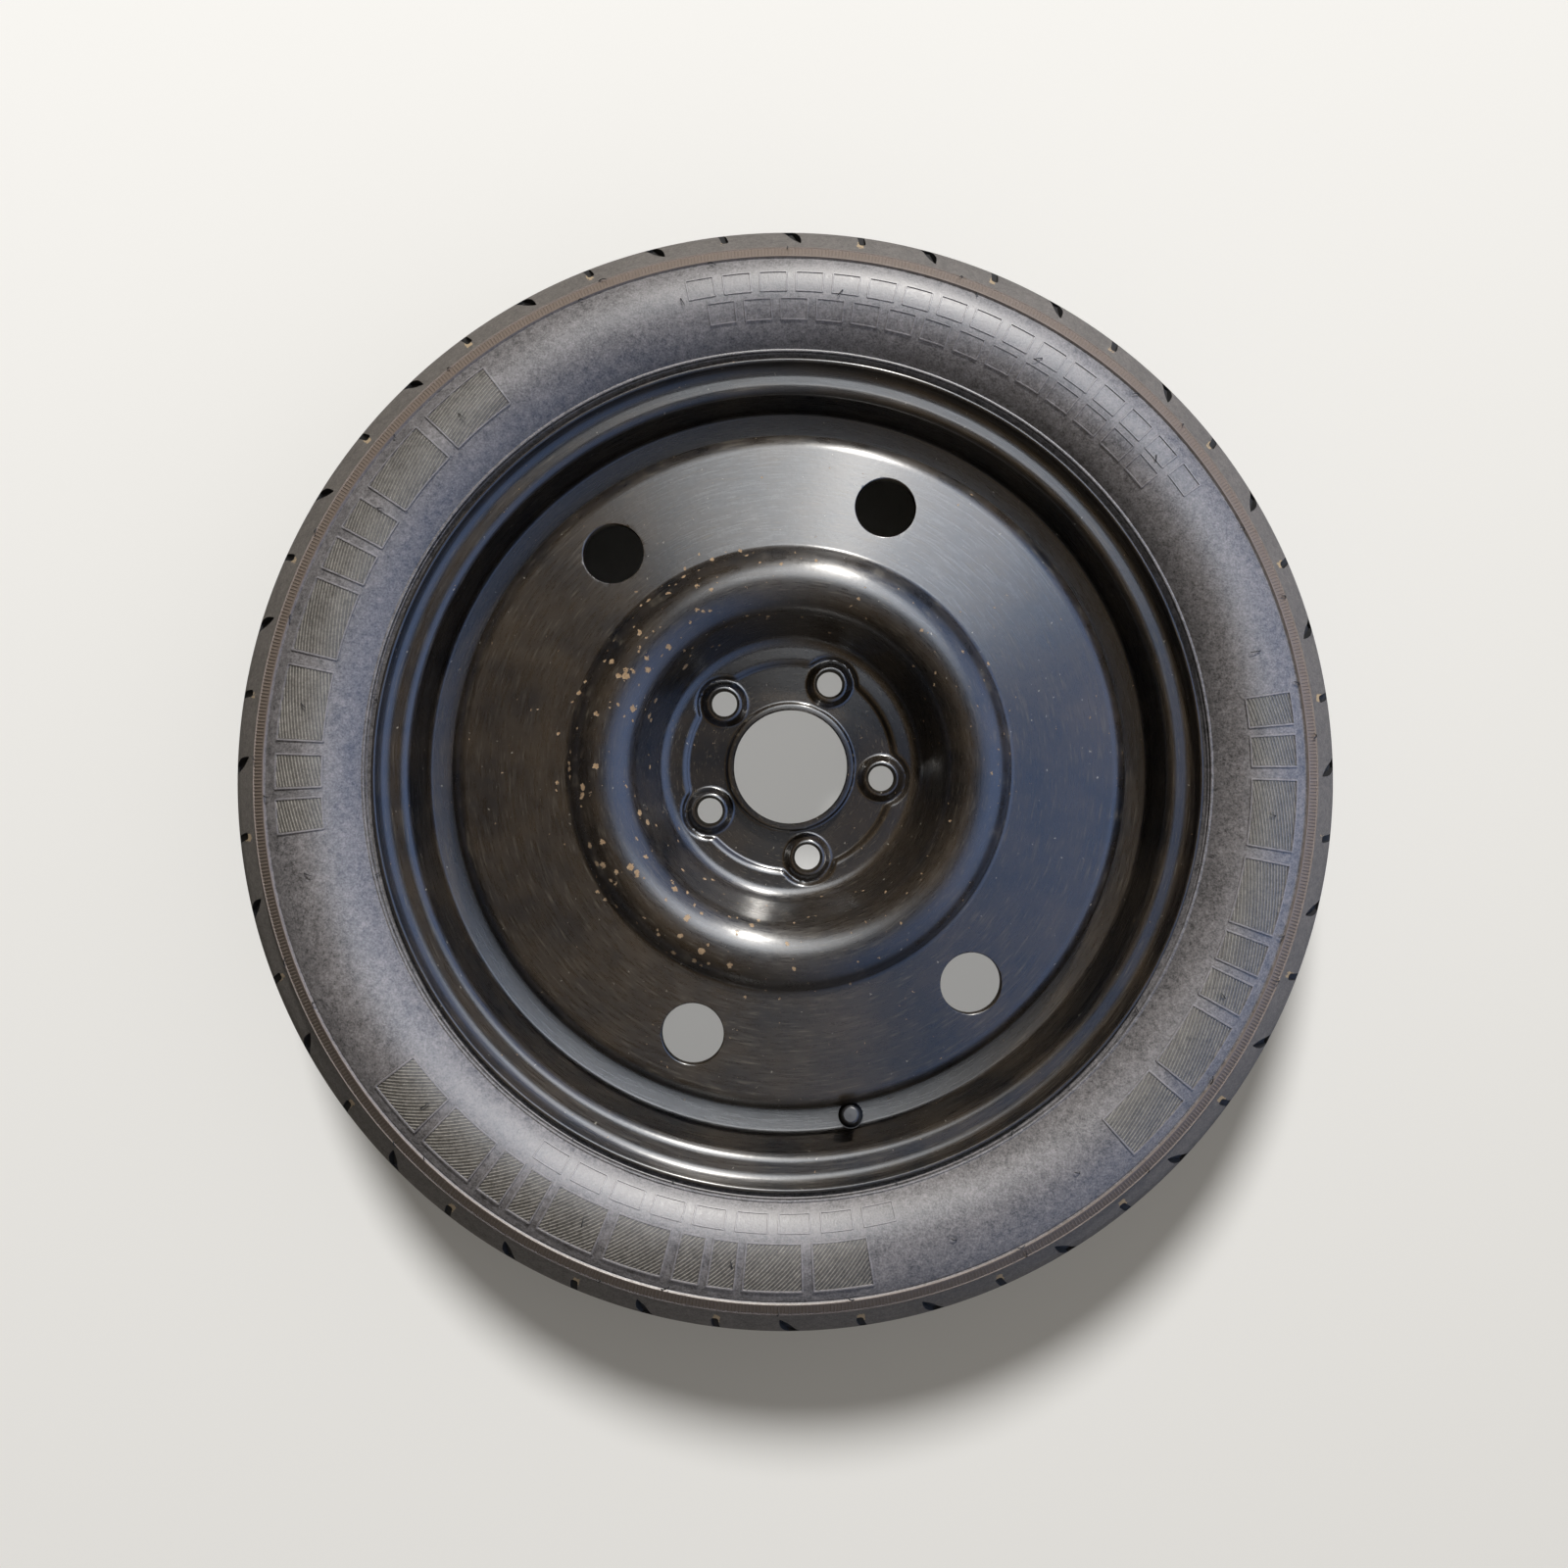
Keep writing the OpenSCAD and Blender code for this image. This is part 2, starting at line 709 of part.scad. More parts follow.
// Pin with its head, the shoulder on the spring and the tail that is riveted in the cup
module core_pin() {
    tail = seat_thick + cup_h + 0.7;
    color([0.82, 0.70, 0.42])
        on_valve() {
            translate([0, 0, barrel_bottom - tail])
                cylinder(d = pin_d, h = pin_top - barrel_bottom + tail);
            translate([0, 0, pin_top - pin_head])
                cylinder(d = pin_d + 0.5, h = pin_head);
            translate([0, 0, spring_high])
                cylinder(d = spring_room_d - 0.4, h = pin_head);
        }
}

// Brass cup that backs the sealing disc at the pin's lower end
module core_cup() {
    color([0.80, 0.66, 0.36])
        on_valve()
            translate([0, 0, barrel_bottom - seat_thick - cup_h])
                difference() {
                    cylinder(d = cup_d, h = cup_h);
                    translate([0, 0, -over])
                        cylinder(d = pin_d, h = cup_h + 2 * over);
                }
}

module core_seat() {
    color([0.05, 0.05, 0.05])
        on_valve()
            translate([0, 0, barrel_bottom - seat_thick])
                difference() {
                    cylinder(d = cup_d - 0.1, h = seat_thick);
                    translate([0, 0, -over])
                        cylinder(d = pin_d, h = seat_thick + 2 * over);
                }
}

// Points of one ring of the spring's wire, at a fraction of its length
function wire_ring(s, sides) =
    let (
        turn = 360 * spring_turns * s,
        mean_r = (spring_room_d + pin_d) / 4,
        low = spring_low + spring_wire / 2 + 0.02,
        high = spring_high - spring_wire / 2 - 0.02,
        z = low + (high - low) * s
    )
    [for (k = [0:sides - 1])
        let (a = 360 * k / sides, r = mean_r + spring_wire / 2 * cos(a))
        [r * cos(turn), r * sin(turn), z + spring_wire / 2 * sin(a)]];

module core_spring() {
    sides = 6;
    steps = 14 * spring_turns;
    rings = [for (i = [0:steps]) wire_ring(i / steps, sides)];
    walls = [for (i = [0:steps - 1], k = [0:sides - 1])
        let (n = (k + 1) % sides)
        [i * sides + k, i * sides + n, (i + 1) * sides + n, (i + 1) * sides + k]];
    first_end = [for (k = [sides - 1:-1:0]) k];
    last_end = [for (k = [0:sides - 1]) steps * sides + k];
    color([0.70, 0.70, 0.72])
        on_valve()
            polyhedron(
                points = [for (ring = rings) each ring],
                faces = concat(walls, [first_end], [last_end])
            );
}

module valve_cap() {
    cap_r = cap_d / 2;
    inner_top = stem_top + washer_gap + washer_thick;
    color([0.06, 0.06, 0.07])
        on_valve()
            difference() {
                revolve(concat(
                    [[0, cap_bottom], [cap_r - 0.4, cap_bottom], [cap_r, cap_bottom + 0.6]],
                    arc([cap_r - 2, cap_bottom + cap_h - 2], 2, 0, 75),
                    [[0, cap_bottom + cap_h]]
                ));
                translate([0, 0, cap_bottom - over])
                    cylinder(d = cap_bore_d, h = inner_top - cap_bottom + over);
                for (i = [0:cap_grips - 1])
                    rotate([0, 0, i * 360 / cap_grips])
                        translate([cap_r + 0.45, 0, cap_bottom - over])
                            cylinder(r = 0.8, h = cap_h - 2.4 + over);
            }
}

module cap_washer() {
    color([0.04, 0.04, 0.04])
        on_valve()
            translate([0, 0, stem_top + washer_gap])
                cylinder(d = cap_bore_d, h = washer_thick);
}

tyre();
rim();
disc();
disc_welds();
valve_body();
valve_stem();
core_body();
core_seal();
core_pin();
core_cup();
core_seat();
core_spring();
valve_cap();
cap_washer();
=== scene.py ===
"""Looks of a steel temporary spare wheel and its tyre, lying flat with the outboard face up.

Each sub-assembly is a class that holds its sizes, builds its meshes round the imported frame
and dresses them. Sizes are in millimetres, and MM turns them to Blender's metres.
"""
import logging
import math
import random
from collections.abc import Callable, Iterator, Mapping, Sequence
from contextlib import contextmanager
from dataclasses import dataclass, field
from enum import Enum

import bmesh
import bpy
from mathutils import Matrix, Vector


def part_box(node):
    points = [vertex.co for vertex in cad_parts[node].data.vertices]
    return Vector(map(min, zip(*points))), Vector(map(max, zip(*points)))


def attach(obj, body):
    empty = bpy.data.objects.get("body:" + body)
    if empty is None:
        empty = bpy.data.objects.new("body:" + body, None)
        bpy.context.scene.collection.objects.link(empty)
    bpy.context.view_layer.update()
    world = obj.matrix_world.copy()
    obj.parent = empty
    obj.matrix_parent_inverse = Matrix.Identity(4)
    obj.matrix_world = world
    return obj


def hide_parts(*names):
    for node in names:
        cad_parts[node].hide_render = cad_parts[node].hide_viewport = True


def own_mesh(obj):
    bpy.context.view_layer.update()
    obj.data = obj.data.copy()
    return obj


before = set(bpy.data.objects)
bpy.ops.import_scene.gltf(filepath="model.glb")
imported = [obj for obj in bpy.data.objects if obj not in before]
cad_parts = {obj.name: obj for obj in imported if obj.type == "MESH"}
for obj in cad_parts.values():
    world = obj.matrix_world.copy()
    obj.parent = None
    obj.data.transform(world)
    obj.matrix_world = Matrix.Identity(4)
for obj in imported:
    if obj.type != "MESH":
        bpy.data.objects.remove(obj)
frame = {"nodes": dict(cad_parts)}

MM = 0.001
FULL_TURN = 2.0 * math.pi
# Distance under which the points of a turned piece are merged, in millimetres
WELD_MM = 0.002
# Distance from a plane under which a point counts as on it, in metres
ON_PLANE = 1e-6
# The shortest line of hatching that is built, in millimetres
SHORTEST_LINE = 1.5
SEED = 20
Piece = bpy.types.Object
Material = bpy.types.Material
Pair = tuple[float, float]
Outline = list[Pair]
Ends = tuple[Pair, Pair]
Triple = tuple[float, float, float]
Quad = tuple[float, float, float, float]
Wrap = Callable[[Vector], Vector]
Socket = bpy.types.NodeSocket
Value = Socket | float
log = logging.getLogger("spare_tyre")


class Body(Enum):
    """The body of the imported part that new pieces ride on."""

    WHEEL = "wheel"


def to_linear(colour: str) -> Quad:
    """Turn an sRGB colour written as #rrggbb into linear red, green, blue and alpha."""
    values = [int(colour[i:i + 2], 16) / 255.0 for i in (1, 3, 5)]
    linear = [v / 12.92 if v <= 0.04045 else ((v + 0.055) / 1.055) ** 2.4 for v in values]
    return (linear[0], linear[1], linear[2], 1.0)


def cos_d(degrees: float) -> float:
    """Cosine of an angle in degrees."""
    return math.cos(math.radians(degrees))


def sin_d(degrees: float) -> float:
    """Sine of an angle in degrees."""
    return math.sin(math.radians(degrees))


def tan_d(degrees: float) -> float:
    """Tangent of an angle in degrees."""
    return math.tan(math.radians(degrees))


def turned(degrees: float, axis: str = "Z") -> Matrix:
    """Turn round an axis by an angle in degrees."""
    return Matrix.Rotation(math.radians(degrees), 4, axis)


def moved(x: float, y: float, z: float) -> Matrix:
    """Move by millimetres."""
    return Matrix.Translation(Vector((x, y, z)) * MM)


def smooth_step(low: float, high: float, value: float) -> float:
    """Rise smoothly from 0 at low to 1 at high."""
    t = min(1.0, max(0.0, (value - low) / (high - low)))
    return t * t * (3.0 - 2.0 * t)


def polar(radius: float, degrees: float, height: float = 0.0) -> Vector:
    """Place a point round the wheel's axis, from millimetres to metres."""
    return Vector((radius * cos_d(degrees), radius * sin_d(degrees), height)) * MM


# Modelling helpers

def add_to_scene(piece: Piece) -> Piece:
    """Link a new object to the scene."""
    bpy.context.scene.collection.objects.link(piece)
    return piece


def select_only(*pieces: Piece) -> None:
    """Deselect everything, select the pieces and make the first one active."""
    bpy.ops.object.select_all(action="DESELECT")
    for piece in pieces:
        piece.select_set(True)
    bpy.context.view_layer.objects.active = pieces[0]


def close_up(weld: float = 0.0) -> None:
    """In edit mode, select all, merge what is closer than weld millimetres and face outwards."""
    bpy.ops.mesh.select_all(action="SELECT")
    if weld:
        bpy.ops.mesh.remove_doubles(threshold=weld * MM)
    bpy.ops.mesh.normals_make_consistent(inside=False)


@contextmanager
def edit_mode(piece: Piece) -> Iterator[None]:
    """Open a piece in edit mode with all of it selected, and leave edit mode at the end."""
    select_only(piece)
    bpy.ops.object.mode_set(mode="EDIT")
    bpy.ops.mesh.select_all(action="SELECT")
    yield
    bpy.ops.object.mode_set(mode="OBJECT")


def apply_modifier(piece: Piece, kind: str, settings: Mapping[str, object]) -> None:
    """Add a modifier to a piece and apply it.

    Args:
        piece: the piece to change.
        kind: Blender's name for the modifier.
        settings: the modifier's settings by name.
    """
    modifier = piece.modifiers.new(kind.lower(), kind)
    for name, value in settings.items():
        setattr(modifier, name, value)
    select_only(piece)
    bpy.ops.object.modifier_apply(modifier=modifier.name)


def smooth(piece: Piece, degrees: float = 30.0) -> None:
    """Shade a piece smooth, with a hard edge where faces meet at more than the angle."""
    select_only(piece)
    bpy.ops.object.shade_smooth_by_angle(angle=math.radians(degrees))


def outline_ring(name: str, outline: Outline) -> Piece:
    """Lay a closed section outline in the plane through the wheel's axis.

    Args:
        name: the new piece's name.
        outline: (radius, height) points in millimetres, in order round the section.

    Returns:
        A piece with one loop of edges, ready to be spun.
    """
    bpy.ops.object.select_all(action="DESELECT")
    bpy.ops.mesh.primitive_circle_add(vertices=len(outline), radius=1.0)
    ring = bpy.context.object
    ring.name = name
    for vertex, (radius, height) in zip(ring.data.vertices, outline):
        vertex.co = Vector((radius, 0.0, height)) * MM
    return ring


def spin_round(ring: Piece, steps: int, degrees: float = 360.0) -> None:
    """Spin a section round the wheel's axis and close what meets.

    Args:
        ring: a piece with a section outline.
        steps: the number of copies of the section.
        degrees: the turn, a full one if it is 360.
    """
    with edit_mode(ring):
        bpy.ops.mesh.spin(
            steps=steps, angle=math.radians(degrees), center=(0, 0, 0), axis=(0, 0, 1))
        close_up(WELD_MM)


def lathe(name: str, outline: Outline, steps: int) -> Piece:
    """Turn a closed outline into a solid of revolution round the wheel's axis."""
    ring = outline_ring(name, outline)
    spin_round(ring, steps)
    return ring


def turned_plug(name: str, outline: Outline, steps: int) -> Piece:
    """Turn an outline that starts and ends on its own axis, such as a cutter or a cap."""
    plug = lathe(name, outline, steps)
    with edit_mode(plug):
        bpy.ops.mesh.dissolve_degenerate(threshold=WELD_MM * MM)
        close_up()
    return plug


def placed_copy(piece: Piece, place: Matrix) -> Piece:
    """Copy a piece with a mesh of its own, and put the place into that mesh."""
    copy = piece.copy()
    copy.data = piece.data.copy()
    copy.data.transform(place)
    return add_to_scene(copy)


def join(pieces: Sequence[Piece], name: str) -> Piece:
    """Join pieces into one with the given name."""
    select_only(*pieces)
    bpy.ops.object.join()
    pieces[0].name = name
    return pieces[0]


def cut_away(piece: Piece, cutter: Piece) -> None:
    """Cut a closed cutter out of a closed piece, and delete the cutter."""
    apply_modifier(piece, "BOOLEAN", {
        "object": cutter, "operation": "DIFFERENCE", "solver": "MANIFOLD"})
    bpy.data.objects.remove(cutter)


def unit_bar(segments: int, top: float = 0.5) -> Piece:
    """Model a straight bar of length 1 along +Y, to be wrapped onto a surface.

    Args:
        segments: how many pieces its length has.
        top: width of its upper face, where its base is 1 wide.

    Returns:
        A closed bar from z = -1 to z = 1.
    """
    bpy.ops.object.select_all(action="DESELECT")
    bpy.ops.mesh.primitive_plane_add(size=1.0, rotation=(math.pi / 2.0, 0.0, 0.0))
    bar = bpy.context.object
    bpy.ops.object.transform_apply(location=True, rotation=True, scale=True)
    with edit_mode(bar):
        for _ in range(segments):
            bpy.ops.mesh.extrude_region_move(
                TRANSFORM_OT_translate={"value": (0.0, 1.0 / segments, 0.0)})
        close_up()
    for vertex in bar.data.vertices:
        raised = vertex.co.z > 0.0
        vertex.co.x *= top if raised else 1.0
        vertex.co.z = 1.0 if raised else -1.0
    return bar


def unit_pad(across: int, along: int) -> Piece:
    """Model a flat pad of size 1 by 1 in small squares, to be wrapped onto a surface.

    Args:
        across: how many squares its width has.
        along: how many squares its length has.

    Returns:
        A closed pad from z = -1 to z = 0.
    """
    bpy.ops.object.select_all(action="DESELECT")
    bpy.ops.mesh.primitive_grid_add(x_subdivisions=across, y_subdivisions=along, size=1.0)
    pad = bpy.context.object
    with edit_mode(pad):
        bpy.ops.mesh.extrude_region_move(TRANSFORM_OT_translate={"value": (0.0, 0.0, -1.0)})
        close_up()
    return pad


def hatch_lines(width: float, depth: float, degrees: float, spacing: float) -> list[Ends]:
    """Cut parallel slanted lines to a rectangle.

    Args:
        width: the rectangle's width, half to each side of zero.
        depth: its depth, from zero.
        degrees: the lines' slope.
        spacing: the distance between lines.

    Returns:
        The two ends of each line that is long enough to be seen.
    """
    c, s = cos_d(degrees), sin_d(degrees)
    count = int((abs(width * s) + abs(depth * c)) / 2.0 / spacing)
    lines = []
    for i in range(-count, count + 1):
        u, v = -s * i * spacing, depth / 2.0 + c * i * spacing
        cuts_u = sorted(((-width / 2.0 - u) / c, (width / 2.0 - u) / c))
        cuts_v = sorted((-v / s, (depth - v) / s))
        low, high = max(cuts_u[0], cuts_v[0]), min(cuts_u[1], cuts_v[1])
        if high - low > SHORTEST_LINE:
            lines.append(((u + c * low, v + s * low), (u + c * high, v + s * high)))
    return lines


def wrap_copies(name: str, unit: Piece, wraps: Sequence[Wrap]) -> Piece:
    """Copy one modelled unit many times, each copy bent into place by its own function.

    Args:
        name: the new piece's name.
        unit: the modelled unit, which is deleted afterwards.
        wraps: one function for each copy, from a point of the unit to a point in metres.

    Returns:
        One piece that holds all copies.
    """
    shell = bmesh.new()
    for wrap in wraps:
        first = len(shell.verts)
        shell.from_mesh(unit.data)
        shell.verts.ensure_lookup_table()
        for vertex in shell.verts[first:]:
            vertex.co = wrap(vertex.co)
    bmesh.ops.recalc_face_normals(shell, faces=shell.faces)
    mesh = bpy.data.meshes.new(name)
    shell.to_mesh(mesh)
    shell.free()
    bpy.data.objects.remove(unit)
    return add_to_scene(bpy.data.objects.new(name, mesh))


def dress(piece: Piece, material: Material) -> None:
    """Give a piece, new or packed, one material all over."""
    piece.data.materials.clear()
    piece.data.materials.append(material)
    for polygon in piece.data.polygons:
        polygon.material_index = 0


def mount(piece: Piece, body: Body, slot: str, *replaced: str) -> None:
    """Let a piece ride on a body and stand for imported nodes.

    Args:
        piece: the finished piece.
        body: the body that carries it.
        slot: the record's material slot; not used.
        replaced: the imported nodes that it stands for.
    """
    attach(piece, body.value)
    if replaced:
        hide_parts(*replaced)
    log.info("%s: %d faces", piece.name, len(piece.data.polygons))


# Sections

@dataclass(frozen=True)
class Bend:
    """A round bend of a sheet in section.

    The side is 1 where the sheet lies towards the centre and -1 where it lies away from it.
    """

    centre: Pair
    radius: float
    start: float
    end: float
    side: int = 1

    def points(self, depth: float = 0.0, step: float = 4.0) -> Outline:
        """Points along the bend.

        Args:
            depth: how far into the sheet the points lie.
            step: the largest turn between points, in degrees.

        Returns:
            The points in order from start to end.
        """
        radius = self.radius - self.side * depth
        count = max(2, math.ceil(abs(self.end - self.start) / step))
        turns = (self.start + (self.end - self.start) * i / count for i in range(count + 1))
        return [
            (self.centre[0] + radius * cos_d(turn),
             self.centre[1] + radius * sin_d(turn))
            for turn in turns
        ]


def sheet_face(bends: Sequence[Bend], depth: float, step: float) -> Outline:
    """Points along one face of a bent sheet."""
    return [point for bend in bends for point in bend.points(depth, step)]


def densify(outline: Outline, spacing: float, within: Pair) -> Outline:
    """Add points to the long straight runs of an outline.

    Args:
        outline: the points in order.
        spacing: the largest distance that is left between points.
        within: the radii between which points are added.

    Returns:
        The points with the added ones between them.
    """
    dense = [outline[0]]
    for (r0, z0), (r1, z1) in zip(outline, outline[1:]):
        count = max(1, math.ceil(math.hypot(r1 - r0, z1 - z0) / spacing))
        if not within[0] <= (r0 + r1) / 2.0 <= within[1]:
            count = 1
        dense += [(r0 + (r1 - r0) * i / count, z0 + (z1 - z0) * i / count)
                  for i in range(1, count + 1)]
    return dense


# Finishes

@dataclass(frozen=True)
class ShaderTree:
    """A node tree, with short ways to add the nodes that the finishes share."""

    tree: bpy.types.NodeTree

    def add(
        self, kind: str, settings: Mapping[str, object] | None = None,
        inputs: Mapping[int | str, object] | None = None,
    ) -> bpy.types.Node:
        """Add a node with its settings and inputs.

        Args:
            kind: the node's type name after its ShaderNode prefix.
            settings: the node's own properties by name.
            inputs: by socket, an output socket to link, a colour as #rrggbb or a plain value.

        Returns:
            The new node.
        """
        made = self.tree.nodes.new("ShaderNode" + kind)
        for name, value in (settings or {}).items():
            setattr(made, name, value)
        for place, value in (inputs or {}).items():
            if isinstance(value, Socket):
                self.tree.links.new(value, made.inputs[place])
            else:
                made.inputs[place].default_value = (
                    to_linear(value) if isinstance(value, str) else value)
        return made

    def math(self, operation: str, *values: Value) -> Socket:
        """Calculate with numbers."""
        return self.add("Math", {"operation": operation}, dict(enumerate(values))).outputs[0]

    def vector(self, operation: str, *values: object) -> Socket:
        """Calculate with vectors."""
        made = self.add("VectorMath", {"operation": operation}, dict(enumerate(values)))
        return made.outputs["Value" if operation in ("LENGTH", "DOT_PRODUCT") else "Vector"]

    def noise(self, vector: Socket, size: float, detail: float, roughness: float = 0.5) -> Socket:
        """Noise whose largest lumps have about the given size in millimetres."""
        return self.add("TexNoise", {}, {
            "Vector": vector, "Scale": 1.0 / (size * MM), "Detail": detail,
            "Roughness": roughness}).outputs["Fac"]

    def mix(self, share: Value, low: Socket | str, high: Socket | str) -> Socket:
        """Blend two colours."""
        return self.add("Mix", {"data_type": "RGBA"}, {0: share, 6: low, 7: high}).outputs[2]

    def blend(self, share: Value, low: Value, high: Value) -> Socket:
        """Blend two numbers."""
        return self.add("Mix", {"data_type": "FLOAT"}, {0: share, 2: low, 3: high}).outputs[0]

    def span(
        self, value: Socket, low: float, high: float, start: float = 0.0, end: float = 1.0,
        soft: bool = False,
    ) -> Socket:
        """Carry a value over to another span, held at both ends.

        Args:
            value: the value.
            low: where it starts to count.
            high: where it stops to count.
            start: the result at low.
            end: the result at high.
            soft: whether the result eases in and out.

        Returns:
            The result's socket.
        """
        settings = {"interpolation_type": "SMOOTHSTEP"} if soft else {}
        return self.add("MapRange", settings, {
            "Value": value, "From Min": low, "From Max": high,
            "To Min": start, "To Max": end}).outputs[0]

    def band(self, value: Socket, middle: float, half: float, soft: float) -> Socket:
        """Give 1 where a value lies in a band, falling to 0 over a soft edge.

        Args:
            value: the value to test.
            middle: the middle of the band.
            half: half of the band's width.
            soft: the width over which the mask falls to 0.

        Returns:
            The mask's socket.
        """
        far = self.math("ABSOLUTE", self.math("SUBTRACT", value, middle))
        return self.span(far, half, half + soft, 1.0, 0.0, True)

    def ramp(
        self, value: Socket, reach: Pair,
        stops: Sequence[tuple[float, Triple | float]],
    ) -> Socket:
        """Turn a value into linear colours that blend between stops.

        Args:
            value: the value.
            reach: the values at the ramp's two ends.
            stops: places along the ramp from 0 to 1, with their colours or greys.

        Returns:
            The colour's socket.
        """
        ramp = self.add("ValToRGB", {}, {0: self.span(value, *reach)})
        tones = [(place, (*tone, 1.0) if isinstance(tone, tuple) else (tone, tone, tone, 1.0))
                 for place, tone in stops]
        elements = ramp.color_ramp.elements
        for element, (place, colour) in zip(list(elements), (tones[0], tones[-1])):
            element.position, element.color = place, colour
        for place, colour in tones[1:-1]:
            elements.new(place).color = colour
        return ramp.outputs["Color"]

    def bump(
        self, height: Socket, strength: float, distance: float,
        normal: Socket | None = None, invert: bool = False,
    ) -> Socket:
        """Tilt the surface by a height, with its distance in millimetres."""
        under = {"Normal": normal} if normal else {}
        return self.add("Bump", {"invert": invert}, {
            "Height": height, "Strength": strength, "Distance": distance * MM,
            **under}).outputs[0]

    def shade(self, inputs: Mapping[str, object]) -> None:
        """End a material's tree with its shader."""
        shader = self.add("BsdfPrincipled", {}, inputs)
        self.add("OutputMaterial", {}, {0: shader.outputs[0]})


def new_material(name: str) -> tuple[Material, ShaderTree]:
    """Start an empty node material."""
    material = bpy.data.materials.new(name)
    material.use_nodes = True
    material.node_tree.nodes.clear()
    return material, ShaderTree(material.node_tree)


@dataclass(frozen=True)
class WheelCoordinates:
    """Outputs that give a material its place on the wheel, in metres and radians."""

    point: Socket
    radius: Socket
    angle: Socket
    ring: Socket

    @staticmethod
    def of(tree: ShaderTree, stretch: float) -> "WheelCoordinates":
        """Work out radius and angle round the axis from the piece's own coordinates.

        Args:
            tree: the material's node tree.
            stretch: length that a whole radian counts for in the ring vector, in metres.

        Returns:
            The outputs, with a ring vector that runs slowly round the wheel and fast across.
        """
        point = tree.add("TexCoord").outputs["Object"]
        x, y, z = tree.add("SeparateXYZ", {}, {0: point}).outputs
        flat = tree.add("CombineXYZ", {}, {0: x, 1: y}).outputs[0]
        radius = tree.vector("LENGTH", flat)
        spread = tree.add("VectorMath", {"operation": "SCALE"}, {
            0: tree.vector("NORMALIZE", flat), "Scale": stretch}).outputs[0]
        turned = tree.add("SeparateXYZ", {}, {0: spread}).outputs
        ring = tree.add("CombineXYZ", {}, {
            0: turned[0], 1: turned[1], 2: tree.math("ADD", radius, z)}).outputs[0]
        return WheelCoordinates(point, radius, tree.math("ARCTAN2", y, x), ring)


